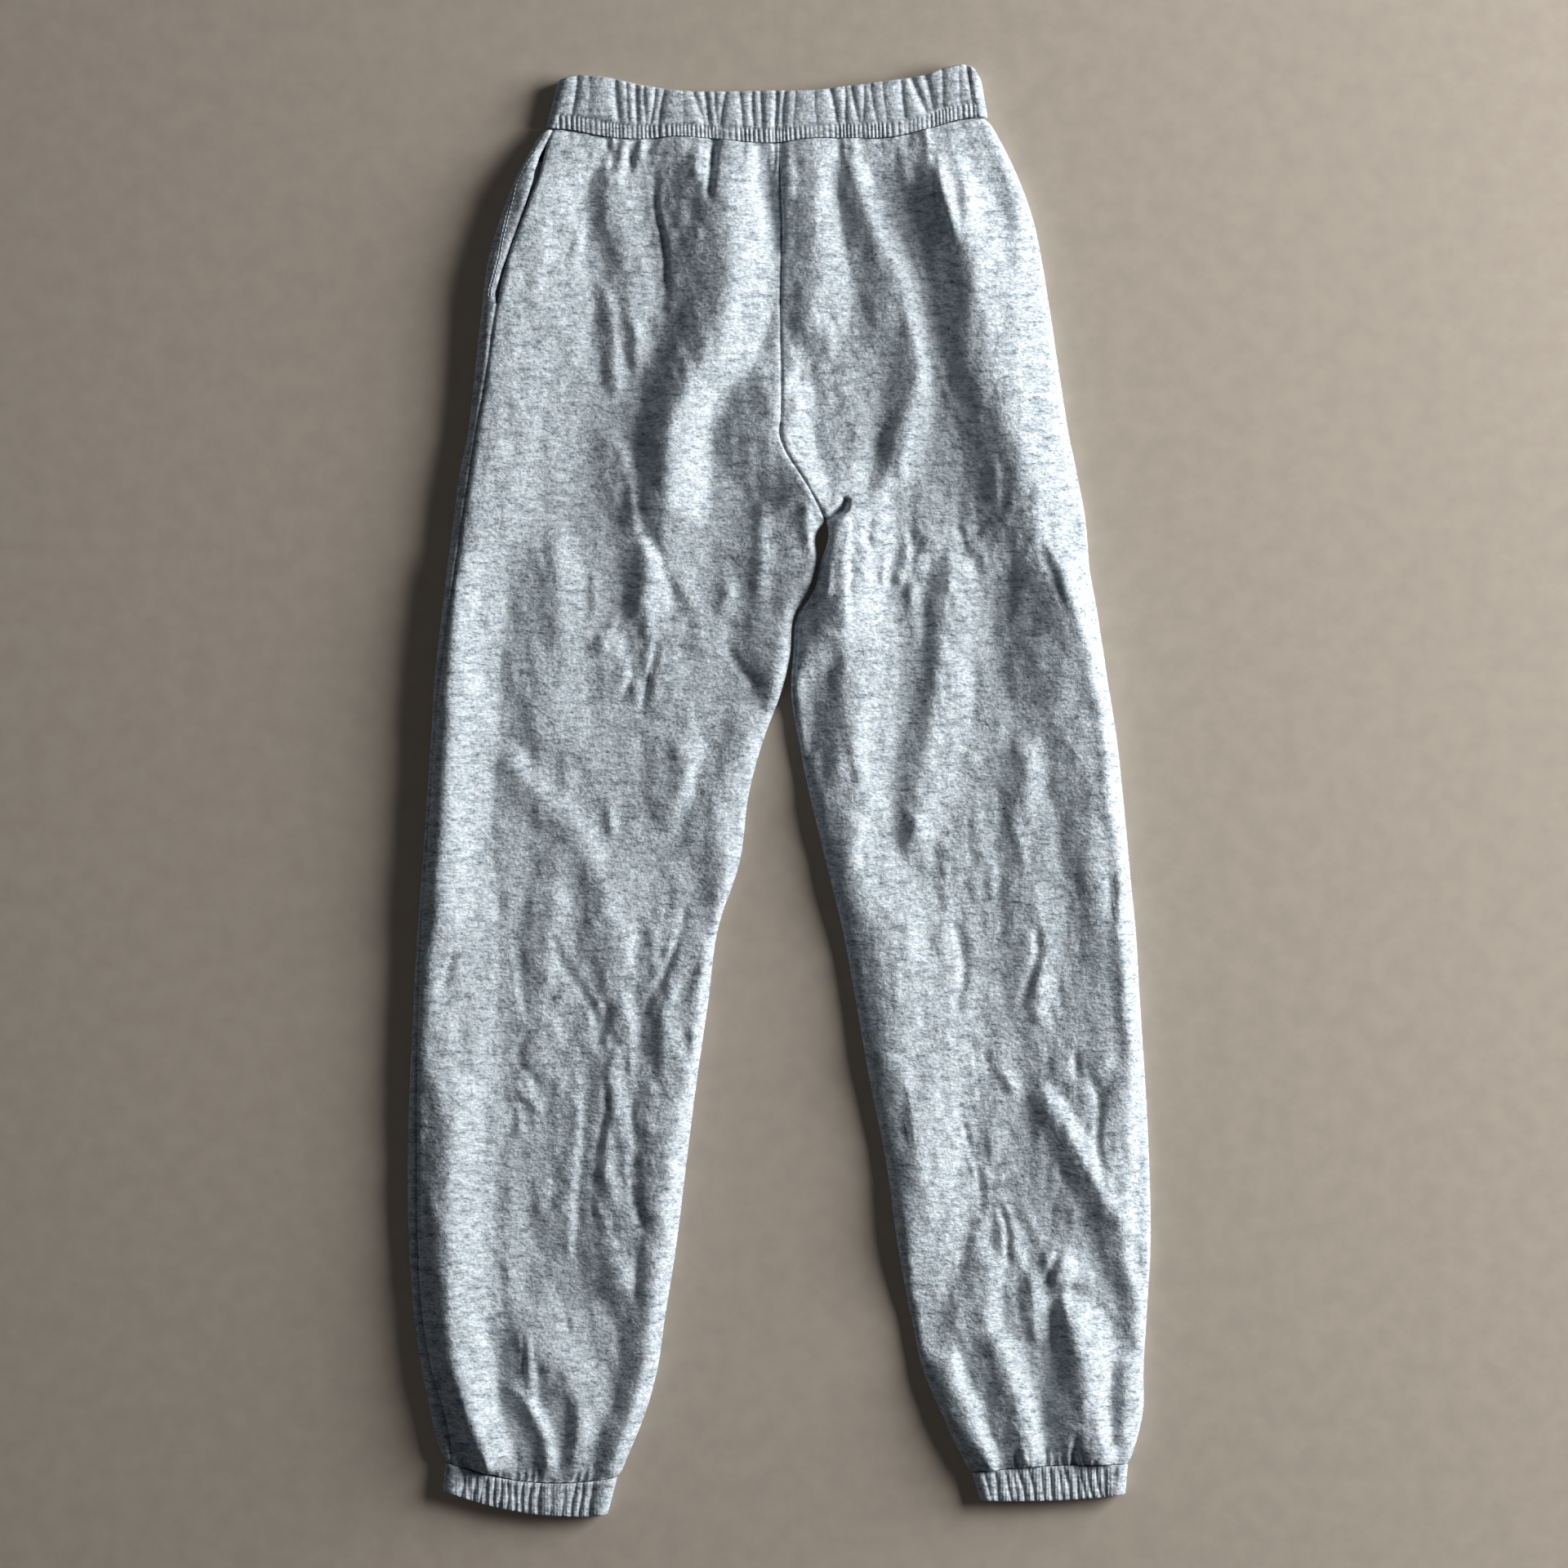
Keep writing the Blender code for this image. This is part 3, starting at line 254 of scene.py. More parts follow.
CREASES["seat_right"] = [
    (6.0, 40, [(112, 480, 40, 40), (116, 450, 42, 44), (119, 425, 44, 52), (126, 400, 46, 58),
        (138, 360, 60, 62), (146, 325, 66, 62), (150, 300, 70, 62), (160, 275, 68, 56), (166, 250, 68, 54),
        (170, 225, 60, 52), (175, 200, 52, 50), (182, 170, 48, 46)]),
    (8.0, 26, [(4, 300, 35, 20), (0, 275, 42, 28), (-3, 255, 44, 34), (0, 243, 45, 35), (8, 232, 46, 28),
        (16, 220, 46, 22), (24, 206, 40, 14), (30, 192, 30, 8)]),
    (2.2, 18, [(-12, 210, 8, 8), (-11, 180), (-12, 155), (-13, 132)]),
    (1.2, 8, [(-34, 152, 6, 6), (-35, 128)]),
    (6.4, 26, [(25, 490, 26, 14), (24, 455, 25, 16), (23, 420, 27, 16), (24, 390, 28, 19),
        (25, 360, 29, 25), (22, 335, 24, 30), (14, 308, 20, 36)]),
    (-2.4, 8, [(15, 296, 5, 5), (13, 280)]),
    (6.0, 26, [(48, 490, 10, 10), (49, 455, 11, 11), (55, 425, 17, 14), (63, 400, 23, 14),
        (72, 380, 28, 16), (84, 355, 32, 16), (89, 335, 31, 15), (93, 320, 30, 13), (97, 300, 26, 10),
        (96, 280, 24, 12), (93, 262, 20, 16), (87, 250, 14, 20), (82, 236, 12, 20), (78, 222, 14, 18),
        (70, 208, 11, 12), (61, 196, 6, 8)]),
    (8.0, 36, [(98, 492, 28, 22), (107, 455), (114, 425, 30, 26), (124, 400, 32, 34), (131, 380, 34, 42),
        (138, 360, 34, 48), (144, 335, 36, 50), (148, 300, 34, 52), (156, 280, 36, 50), (161, 260, 38, 48),
        (166, 245, 40, 46), (171, 222, 40, 44), (176, 200, 40, 42), (181, 182, 40, 38), (189, 168, 42, 30),
        (197, 152, 44, 24), (204, 134, 48, 18), (212, 114, 54, 12), (214, 80, 56, 10), (216, 50, 50, 10)]),
    (-1.1, 14, [(182, 178, 5, 5), (190, 156), (198, 136), (205, 114)]),
    (1.4, 10, [(151, 232, 8, 5), (151, 215), (151, 196)]),
    (2.0, 14, [(78, 466, 16, 6), (85, 446), (90, 424)]),
    (2.0, 8, [(101, 468, 4, 4), (107, 450)]),
    (3.0, 12, [(111, 470, 6, 6), (112, 448), (113, 430), (124, 388)]),
    (3.2, 14, [(121, 470, 8, 9), (126, 450), (130, 434), (136, 396)]),
    (2.2, 14, [(142, 472, 10, 10), (150, 458), (157, 443), (162, 424), (165, 404), (170, 364)]),
    (1.8, 8, [(92, 250, 4, 4), (88, 236), (84, 214)]),
]
CREASES["thigh_right"] = [
    (1.7, 8, [(48, 204, 16, 3), (48.6, 188, 18, 3), (48.8, 170, 20, 3), (48.4, 150, 20, 3.2),
        (47.6, 130, 20, 3.4), (47, 112, 18, 4)]),
    (9.0, 30, [(196, 176, 52, 20), (206, 140, 60, 16), (213, 105, 64, 14), (219, 70, 66, 14), (225, 30),
        (230, -10, 62, 14), (234, -50, 60, 13), (239, -90, 60, 12), (242, -130, 64, 11),
        (243, -170, 74, 11), (243, -210, 78, 11), (243, -250, 76, 11), (244, -290, 66, 11),
        (246, -320, 40, 10)]),
    (2.0, 24, [(213, 64, 25, 14), (212, 40), (213, 25), (216, 10, 28, 14), (220, -5), (218, -25, 20, 14),
        (219, -45), (222, -65, 20, 12), (224, -108, 19, 12)]),
    (4.0, 22, [(167, 44, 16, 18), (172, 20, 18, 15), (170, 0, 18, 18), (168, -15, 17, 28),
        (168, -30, 16, 30), (170, -45, 18, 28), (173, -60, 22, 26), (177, -75, 25, 24), (180, -92, 26, 22),
        (180, -115, 26, 18), (179, -140, 24, 14), (179, -172, 12, 9)]),
    (2.3, 20, [(217, 112, 8, 8), (220, 85, 8, 10), (224, 60), (228, 35), (232, -10, 8, 12), (238, -60),
        (240, -100), (243, -140), (249, -185, 10, 9), (253, -225, 10, 8)]),
    (-1.8, 10, [(230, -55, 4, 4), (232, -68), (237, -94)]),
    (4.8, 24, [(121, 172, 10, 14), (119, 150, 12, 22), (117, 130, 12, 25), (116, 110, 13, 25),
        (114, 90, 14, 25), (112, 70, 18, 25), (110, 50, 20, 25), (105, 30), (101, 10, 22, 25), (101, -10),
        (98, -22, 18, 22), (93, -38, 8, 18), (91, -56, 4, 12)]),
    (1.4, 10, [(95, 152, 4, 8), (93, 132, 5, 8), (89, 112, 5, 10)]),
    (7.4, 90, [(48, 196, 20, 26), (48.5, 176), (48.5, 158, 21, 28), (48, 140, 23, 30), (47.5, 118, 23, 34),
        (47, 95, 20, 36), (46.5, 72, 20, 38), (46, 50, 21, 38), (46, 5, 28, 38), (48, -25, 28, 40),
        (53, -52, 28, 42), (60, -78, 26, 46), (68, -104, 26, 54), (74, -130, 26, 60), (76, -155, 24, 64),
        (79, -180, 26, 64), (86, -205, 28, 56), (91, -230, 28, 48), (94, -262, 26, 46), (92, -290, 24, 46),
        (91, -320, 20, 40), (96, -350, 18, 26), (99, -384, 14, 10)]),
    (1.6, 20, [(54, 64, 8, 18), (54, 45), (55, 25, 6, 17), (57, 5, 5, 14), (58, -10, 10, 8),
        (55, -30, 12, 7), (52, -50, 10, 7), (50, -66, 6, 6)]),
    (-14.0, 2, [(24, 186, 5, 5), (28, 187.5, 6, 6), (33, 189.5, 8.5, 8.5), (39, 193, 8, 8),
        (43.5, 196.5, 7, 7), (46.5, 201, 4.5, 4.5), (47.5, 206, 3.5, 3.5)]),
    (2.4, 8, [(21, 204, 7, 4), (19.5, 190), (20, 178), (23, 162)]),
    (2.2, 10, [(34, 184, 5, 6), (33.5, 168), (33, 150), (33, 130)]),
    (-3.5, 16, [(17, 150, 6, 10), (16, 124, 7, 12), (15, 104, 7, 14), (15, 84, 7, 16), (16, 64, 7, 14)]),
    (-2.2, 14, [(50.5, 200, 3, 3), (50.5, 170), (50, 130)]),
    (-1.6, 6, [(48, 187, 3, 4), (42, 171)]),
    (-1.6, 6, [(92, 188, 4, 4), (97, 163)]),
    (-1.6, 6, [(52, 172, 3, 4), (60, 158)]),
    (-1.6, 6, [(62, 182, 3, 4), (67, 168)]),
    (1.6, 6, [(76, 168, 3, 4), (70, 148)]),
    (-2.0, 10, [(120, 192, 5, 5), (128, 178, 6, 6), (132, 162, 5, 5)]),
    (-1.6, 8, [(141, 190, 5, 5), (134, 172)]),
]
CREASES["crotch"] = [
    (8.0, 30, [(26, 240, 62, 46), (38, 214, 80, 42), (44, 192, 90, 40), (45, 165, 92, 38),
        (43, 145, 90, 34), (34, 122, 78, 28), (20, 96, 64, 22), (9, 72, 56, 14), (2, 52, 36, 10)]),
]
CREASES["thigh_left"] = [
    (3.2, 26, [(-157, 196, 22, 16), (-160, 165, 30, 20), (-158, 140, 35, 22), (-157, 115, 36, 25),
        (-165, 90, 30, 30), (-168, 65, 28, 36), (-166, 40, 26, 36), (-164, 18, 12, 30)]),
    (1.3, 10, [(-131, 152, 5, 12), (-131, 130), (-132, 110, 5, 10)]),
    (-2.0, 12, [(-82, 110, 3, 3), (-86, 95), (-91, 82), (-98, 46)]),
    (-2.0, 12, [(-110, 112, 4, 4), (-106, 96), (-103, 84), (-114, 58)]),
    (1.6, 10, [(-104, 86, 6, 3), (-101, 70), (-98, 56)]),
    (2.7, 24, [(-200, 40, 14, 14), (-188, 20, 20, 16), (-178, 8, 22, 18), (-168, -6, 24, 22),
        (-156, -16, 28, 26), (-144, -28, 32, 22), (-139, -42, 34, 18), (-139, -56, 36, 16),
        (-141, -70, 22, 12)]),
    (3.2, 24, [(-12, 64, 24, 12), (-20, 48, 24, 14), (-28, 32, 24, 16), (-36, 15, 26, 20),
        (-42, 0, 28, 22), (-44, -15, 28, 18), (-42, -30, 26, 14), (-38, -50, 22, 9), (-42, -70, 18, 8),
        (-50, -92, 14, 6)]),
    (-2.2, 12, [(-40, 102, 7, 9), (-32, 88), (-20, 76), (-8, 68)]),
    (2.0, 16, [(-117, -2, 8, 5), (-118, -20), (-120, -36)]),
    (3.6, 18, [(-58, 38, 30, 10), (-66, 16, 32, 10), (-73, -5, 30, 12), (-86, -24, 18, 14)]),
    (-1.4, 8, [(-67, -78, 4, 4), (-67, -102)]),
]
CREASES["knee_left"] = [
    (2.4, 20, [(-158, -60, 22, 8), (-158, -80, 22, 14), (-160, -100, 22, 16), (-163, -118, 18, 9),
        (-163, -136, 12, 8), (-160, -150, 8, 8)]),
    (-2.0, 14, [(-158, -112, 4, 6), (-148, -128, 5, 7), (-140, -138), (-130, -160, 5, 6),
        (-127, -174, 4, 5)]),
    (2.8, 22, [(-126, -40, 10, 24), (-125, -60, 14, 26), (-124, -75, 18, 24), (-125, -90),
        (-121, -104, 18, 20), (-115, -120, 18, 16), (-110, -138, 20, 11), (-105, -156, 22, 8),
        (-103, -180, 22, 5), (-103, -204, 14, 4)]),
    (-1.5, 10, [(-182, -108, 5, 5), (-181, -135), (-178, -162, 4, 5)]),
    (-1.5, 10, [(-177, -168, 4, 6), (-182, -188, 5, 6), (-170, -202), (-168, -218, 4, 5)]),
    (1.6, 22, [(-72, -128, 12, 5), (-78, -142, 16, 8), (-82, -160, 14, 12), (-81, -180, 15, 12),
        (-80, -200, 16, 12)]),
    (-2.2, 12, [(-67, -92, 4, 4), (-75, -114, 4, 5), (-82, -130), (-90, -144, 4, 6), (-94, -160, 5, 6)]),
    (-2.0, 10, [(-56, -118, 4, 5), (-66, -134), (-71, -150)]),
    (-2.0, 10, [(-69, -162, 4, 5), (-66, -180, 5, 5), (-63, -198, 4, 4)]),
    (-1.5, 10, [(-119, -154, 3, 4), (-125, -166, 4, 5), (-128, -182, 4, 4)]),
    (-1.5, 10, [(-104, -212, 4, 5), (-103, -232, 5, 5), (-101, -254, 4, 5)]),
    (1.4, 10, [(-186, -204, 5, 4), (-176, -217), (-164, -230)]),
    (-1.4, 10, [(-187, -222, 4, 5), (-190, -248)]),
]
CREASES["shin_left"] = [
    (7.0, 30, [(-50, -96, 30, 8), (-54, -120, 36, 8), (-59, -150, 42, 9), (-64, -180, 46, 10),
        (-69, -210, 50, 12), (-75, -240, 52, 13), (-81, -280, 50, 14), (-85, -310, 44, 14),
        (-89, -340, 36, 14), (-92, -365, 28, 12), (-95, -385, 20, 12), (-97, -405, 16, 12),
        (-101, -425, 16, 10), (-107, -442, 15, 10), (-114, -460, 14, 10), (-119, -486, 12, 10)]),
    (3.4, 24, [(-119, -170, 8, 12), (-117, -195, 12, 16), (-116, -215, 20, 18), (-113, -235, 24, 18),
        (-116, -255, 22, 20), (-118, -275, 22, 22), (-120, -300, 20, 22), (-121, -322, 19, 20),
        (-117, -338, 21, 16), (-113, -352, 19, 12), (-110, -366, 14, 10)]),
    (-1.5, 14, [(-121, -202, 4, 4), (-122, -225), (-126, -246, 5, 5), (-131, -262, 5, 4)]),
    (1.8, 22, [(-143, -196, 10, 5), (-143, -230, 12, 5), (-144, -262), (-146, -300, 14, 6),
        (-146, -334, 12, 6)]),
    (1.2, 16, [(-190, -246, 9, 16), (-190, -270, 9, 18), (-191, -300, 9, 16), (-191, -330, 8, 12),
        (-188, -358)]),
    (-1.5, 12, [(-101, -246, 5, 6), (-101, -280), (-96, -308), (-101, -330), (-102, -348), (-98, -380)]),
    (-1.3, 10, [(-178, -288, 8, 10), (-172, -312), (-168, -330)]),
    (4.6, 24, [(-168, -350, 36, 28), (-170, -372, 36, 44), (-166, -392, 36, 48), (-154, -408, 34, 38),
        (-143, -422, 28, 26), (-140, -436, 20, 20)]),
    (-1.1, 8, [(-148, -368, 4, 4), (-146, -386)]),
    (2.1, 12, [(-181, -372, 9, 7), (-178, -400), (-176, -416), (-173, -430), (-167, -441), (-161, -452),
        (-159, -464), (-162, -480)]),
    (3.4, 16, [(-141, -420, 8, 22), (-141, -434, 9, 22), (-142, -450, 8, 16), (-144, -464, 7, 12),
        (-149, -482, 7, 10)]),
    (2.8, 20, [(-197, -402, 14, 10), (-190, -412), (-181, -424), (-172, -438, 14, 8), (-164, -456, 12, 8),
        (-158, -486, 10, 8)]),
    (-1.4, 8, [(-171, -398, 4, 5), (-166, -414)]),
    (1.7, 8, [(-210, -458, 7, 5), (-206, -468), (-202, -482)]),
    (-1.3, 8, [(-181, -376, 3, 3), (-181, -410)]),
]
CREASES["knee_right"] = [
    (-2.0, 12, [(121, -90, 5, 6), (127, -106), (130, -122), (129, -142), (125, -162)]),
    (-2.0, 10, [(183, -92, 5, 4), (180, -115), (175, -135), (167, -158)]),
    (-1.7, 12, [(128, -226, 3, 5), (134, -246), (138, -260, 3, 6), (140, -275), (139, -304)]),
    (-1.5, 8, [(144, -174, 3, 4), (144, -188), (149, -202)]),
    (1.9, 12, [(152, -190, 6, 6), (159, -204), (168, -218)]),
    (4.4, 24, [(176, -206, 12, 12), (190, -225, 18, 14), (197, -235, 20, 15), (204, -246, 20, 16),
        (210, -256), (215, -266), (221, -276, 20, 15), (228, -286, 20, 13), (235, -297, 20, 12),
        (241, -312), (243, -328, 16, 10), (247, -344, 14, 8), (252, -360, 14, 6), (249, -376, 10, 6),
        (246, -394, 6, 8)]),
    (-1.6, 12, [(216, -192, 4, 5), (221, -208), (223, -222, 5, 5), (222, -244), (225, -264),
        (229, -284, 4, 4)]),
    (-1.9, 8, [(206, -178, 5, 5), (207, -202)]),
    (-1.7, 10, [(239, -246, 3, 4), (244, -264), (248, -282), (251, -304)]),
    (-2.0, 12, [(88, -206, 4, 4), (87, -230), (89, -258)]),
]
CREASES["ankle_right"] = [
    (-1.9, 10, [(154, -290, 4, 4), (158, -314), (160, -338)]),
    (3.6, 18, [(145, -318, 14, 12), (145, -332, 20, 11), (145, -346, 28, 11), (143, -358, 32, 12),
        (144, -370, 36, 13), (146, -386, 34, 13), (149, -400, 20, 12)]),
    (3.8, 14, [(176, -332, 8, 10), (177, -348, 13, 12), (177, -362, 12, 12), (179, -376, 10, 12),
        (183, -392, 7, 8)]),
    (-2.3, 8, [(199, -320, 4, 5), (192, -332), (184, -348)]),
    (5.4, 16, [(203, -318, 14, 26), (198, -332, 16, 30), (194, -344, 18, 32), (194, -356, 14, 30)]),
    (9.0, 14, [(197, -350, 6, 8), (201, -364, 12, 16), (205, -374, 16, 26), (209, -385, 22, 30),
        (213, -397, 26, 26), (216, -407, 30, 22), (218, -420, 34, 18), (221, -436, 36, 16),
        (224, -455, 36, 14), (228, -488, 28, 12)]),
    (6.0, 16, [(151, -380, 14, 16), (154, -394, 20, 18), (157, -408, 24, 18), (161, -420, 26, 18),
        (166, -431, 26, 16), (171, -446, 24, 13), (176, -462, 20, 11), (182, -488, 14, 9)]),
    (5.2, 16, [(114, -388, 14, 8), (117, -398, 18, 10), (119, -407, 20, 12), (122, -417, 20, 14),
        (127, -430, 20, 16), (133, -444, 18, 15), (143, -462, 16, 12), (155, -488, 12, 10)]),
    (3.8, 14, [(241, -392, 8, 14), (242, -412, 9, 15), (243, -430, 9, 14), (242, -448, 9, 10),
        (239, -464, 8, 8)]),
    (2.1, 8, [(140, -452, 5, 4), (148, -466), (155, -482)]),
    (1.9, 6, [(170, -458, 4, 4), (173, -480)]),
    (-2.8, 8, [(209, -450, 4, 4), (207, -462), (206, -480)]),
]
CREST_STEP = 8.0        # spacing at which a crest's line is followed
CREASE_SCALE = 1.2      # the creases as they stand, against the heights above
STEEPEST = 0.62         # most that a crease rises for each mm of its narrower side
STEEPEST_TROUGH = 2.2   # and that a trough sinks
CRISP = 0.7             # how evenly a side slopes: 0 a wave, 1 a tent
# Fine crumples all over: lattice size, how much longer than wide, height, and seed.
CRUMPLES = [
    # size, stretch, rise, seed
    (21.0, 2.2, 1.0, 1), (11.0, 2.4, 0.75, 2), (6.5, 1.8, 0.58, 3), (4.0, 1.4, 0.36, 4),
]
# Patches where the cloth is more crumpled than elsewhere: middle, half sizes and how much more.
PATCHES = [
    # x, y, half_x, half_y, more
    (-112.0, 108.0, 62.0, 26.0, 1.6), (135.0, 164.0, 85.0, 20.0, 1.7), (88.0, 140.0, 40.0, 45.0, 0.8),
    (-105.0, -150.0, 60.0, 70.0, 1.0), (-85.0, -290.0, 50.0, 90.0, 1.1), (110.0, -60.0, 60.0, 90.0, 0.8),
    (170.0, -270.0, 65.0, 110.0, 0.9), (20.0, 270.0, 45.0, 60.0, 0.7), (-95.0, 420.0, 70.0, 45.0, 0.8),
]
FINE_CRUMPLE = 12.0     # crumples smaller than this are the ones that the patches raise
PATCH_SIZE = 3.2        # the crumples come and go over this many times their own size
PATCH_LEVEL = 0.75
PATCH_SWING = 0.5
SLANT = 0.035           # how far the crumples slant from the legs' length
SLANT_SIZE = 60
HELD_SHARE = 0.3        # share of a ridge's height that is left where the waistband holds it
HELD_REACH = 42.0       # length below the waistband over which the ridges rise in full
TIP_RIDGE = 0.2         # how rounded a ridge's crest is, as a share of its side
TIP_TROUGH = 0.12       # and a trough's bottom
LEAST_SLANT = 0.5       # a crest that slants keeps at least this share of its sides
# How far the creases and crumples wander off their lines: by how much, lattice size and seed.
WANDER_X = [(2.2, 34, 5), (1.2, 12, 6)]
WANDER_Y = [(3.5, 36, 7), (1.6, 14, 8)]
WANDER_LONG = 0.7       # the wander along X is longer than wide
SOFT_FLOOR = 2.0        # the height eases into its least value over this length
SOFT_CEILING = 3.0      # and into its greatest

# Spacing of the mesh, in mm, and in shares of the width beside the seams.
ROW_STEP = 3.0
CROTCH_ROWS = [207.0, 205.0, 203.2, 201.5, 200.0, 198.5, 197.0, 195.7, 194.5, 192.6, 191.2, 190.0,
               188.8, 187.4, 185.5, 183.0]
AFTER_CROTCH = 2.8      # first step below the crotch's rows, and least step before the cuffs' rows
BEFORE_CUFF = 2.5
NEAR_BAND = np.array([0.0, 0.7, 1.6])   # rows beside the waistband and the cuffs
ACROSS_SAMPLES = 300    # points across one half before it is cut into columns
INNER_SHARES = [0.0, 0.02, 0.05, 0.09, 0.14, 0.20, 0.26, 0.32, 0.38, 0.44, 0.50, 0.56, 0.62,
                0.68, 0.76, 0.88, 1.0]
INNER_REACH = 22.0      # the inner columns end this far inside the inner line
OUTER_REACH = 22.0
MIDDLE_SPANS = 88
OUTER_SHARES = {"left": [0.12, 0.25, 0.38, 0.5, 0.62, 0.74, 0.84, 0.92, 0.97, 1.0],
                "right": [0.08, 0.16, 0.24, 0.32, 0.4, 0.48, 0.56, 0.64, 0.72, 0.8, 0.87, 0.93, 0.97, 1.0]}
EDGE_SPREAD = [0.0, 0.4, 1.0, 2.0, 3.2, 4.6, 6.0, 8.0, 10.5, 13.0, 16.0, 20.0]
FRONT_SPANS = 44
FRONT_INNER = [14.0, 10.0, 7.0, 4.5, 2.5, 1.0, 0.3, 0.0]
PAST_CENTRE = 9.0       # a half is followed this far past the centre seam


# ---------------------------------------------------------------- small tools
def read_table(rows, names):
    """A table's columns by name, from its lowest row up."""
    rows = np.array(rows[::-1], float)
    return {name: (rows[:, 0], rows[:, k + 1]) for k, name in enumerate(names)}


COLUMNS = {
    **read_table(OUTLINE, ["left_edge", "left_seam", "right_edge", "thick"]),
    **read_table(CENTRE_SEAM, ["centre"]),
    **read_table(INNER_EDGES, ["left_inner", "right_inner", "inseam_l", "inseam_r"]),
}


def spline(knots, values, at):
    """A smooth curve through a table, with the slope at each knot from its neighbours."""
    slopes = np.gradient(values, knots)
    at = np.clip(np.asarray(at, float), knots[0], knots[-1])
    k = np.clip(np.searchsorted(knots, at) - 1, 0, len(knots) - 2)
    span = knots[k + 1] - knots[k]
    t = (at - knots[k]) / span
    low = (1 + 2 * t) * (1 - t) ** 2 * values[k] + t * (1 - t) ** 2 * span * slopes[k]
    high = t ** 2 * (3 - 2 * t) * values[k + 1] + t ** 2 * (t - 1) * span * slopes[k + 1]
    return low + high


def section(column, y):
    knots, values = COLUMNS[column]
    return spline(knots, values, y)


def path_length(line):
    steps = np.linalg.norm(np.diff(line, axis=0), axis=1)
    return np.concatenate([[0.0], np.cumsum(steps)])


def ease(t):
    t = np.clip(t, 0.0, 1.0)
    return t * t * (3 - 2 * t)


def band_edge(share, column):
    shares = np.array([row[0] for row in WAISTBAND])
    return spline(shares, np.array([row[column] for row in WAISTBAND]), share)


def band_foot(share, upper_side):
    """The band's lower edge: wavy on the upper side, an even curve underneath."""
    if upper_side:
        return band_edge(share, 1)
    left, right = WAISTBAND[0][1], WAISTBAND[-1][1]
    return left + (right - left) * share - BAND_UNDER_SAG * 4 * share * (1 - share)


def cuff_edge(cuff, share, upper):
    """A point on a cuff's upper or lower edge, from its left end (0) to its right end (1)."""
    upper_left, upper_right, lower_left, lower_right, upper_sag, lower_sag = CUFFS[cuff]
    start, end, sag = ((upper_left, upper_right, upper_sag) if upper
                       else (lower_left, lower_right, lower_sag))
    share = np.asarray(share, float)
    x = start[0] + (end[0] - start[0]) * share
    y = start[1] + (end[1] - start[1]) * share - sag * 4 * share * (1 - share)
    return x, y


LATTICE = 256
LATTICE_MIDDLE = 100.0


def value_noise(x, y, size, seed):
    """Smooth random heights between -1 and 1, on a lattice of the given size."""
    lattice = np.random.RandomState(seed).uniform(-1, 1, (LATTICE, LATTICE))
    u, v = x / size + LATTICE_MIDDLE, y / size + LATTICE_MIDDLE
    i, j = np.floor(u).astype(int), np.floor(v).astype(int)
    s, t = ease(u - i), ease(v - j)
    i, j = i % (LATTICE - 1), j % (LATTICE - 1)
    low = lattice[i, j] * (1 - s) + lattice[i + 1, j] * s
    high = lattice[i, j + 1] * (1 - s) + lattice[i + 1, j + 1] * s
    return low * (1 - t) + high * t


# ---------------------------------------------------------------- the upper face
class Crease:
    """One soft ridge or trough: what it adds to the upper face at any point."""

    def __init__(self, height, fade, line):
        line = np.array(line, float)
        along = path_length(line[:, :2])
        at = np.linspace(0.0, along[-1], max(3, round(along[-1] / CREST_STEP)))
        self.fade, self.trough = fade, height < 0
        self.points = np.stack([spline(along, line[:, k], at) for k in (0, 1)], 1)
        self.steps = np.diff(self.points, axis=0)
        self.lengths = np.hypot(self.steps[:, 0], self.steps[:, 1])
        self.starts = np.concatenate([[0.0], np.cumsum(self.lengths)])
        # The sides are given along X; across a slanting crest they are narrower.
        slant = np.maximum(np.abs(np.gradient(self.points[:, 1])) /
                           np.hypot(*np.gradient(self.points, axis=0).T), LEAST_SLANT)
        self.left, self.right = (np.interp(at, along, line[:, k]) * slant for k in (2, 3))
        steepest = (STEEPEST if height > 0 else STEEPEST_TROUGH) * np.minimum(self.left, self.right)
        self.rise = np.clip(height, -steepest, steepest)
        reach = max(self.left.max(), self.right.max())
        self.low = self.points.min(0) - reach
        self.high = self.points.max(0) + reach

    def add(self, x, y, height):
        near = ((x > self.low[0]) & (x < self.high[0]) & (y > self.low[1]) & (y < self.high[1]))
        if not near.any():
            return
        px, py = x[near], y[near]
        nearest = np.full(px.shape, 1e9)
        side = np.zeros(px.shape)
        along = np.zeros(px.shape)
        for k, (dx, dy) in enumerate(self.steps):
            from_x = px - self.points[k, 0]
            from_y = py - self.points[k, 1]
            t = np.clip((from_x * dx + from_y * dy) / self.lengths[k] ** 2, 0, 1)
            distance = np.hypot(from_x - t * dx, from_y - t * dy)
            closer = distance < nearest
            nearest = np.where(closer, distance, nearest)
            side = np.where(closer, dx * from_y - dy * from_x, side)
            along = np.where(closer, self.starts[k] + t * self.lengths[k], along)
        left = np.interp(along, self.starts, self.left)
        right = np.interp(along, self.starts, self.right)
        out = np.minimum(nearest / np.where(side > 0, right, left), 1)
        soft = 0.5 * (1 + np.cos(math.pi * out))
        tip = TIP_TROUGH if self.trough else TIP_RIDGE
        crisp = (math.hypot(1, tip) - np.hypot(out, tip)) / (math.hypot(1, tip) - tip)
        ridge = soft + (crisp - soft) * CRISP
        fade = ease(along / self.fade) * ease((self.starts[-1] - along) / self.fade)
        if not self.trough:
            fade = fade * (HELD_SHARE + (1 - HELD_SHARE) * ease((WAIST_Y - py) / HELD_REACH))
        height[near] += np.interp(along, self.starts, self.rise) * ridge * fade


def with_sides(points):
    """A crest's points, each with how far its two sides slope out."""
    line = []
    for point in points:
        line.append(point if len(point) == 4 else point + line[-1][2:])
    return line


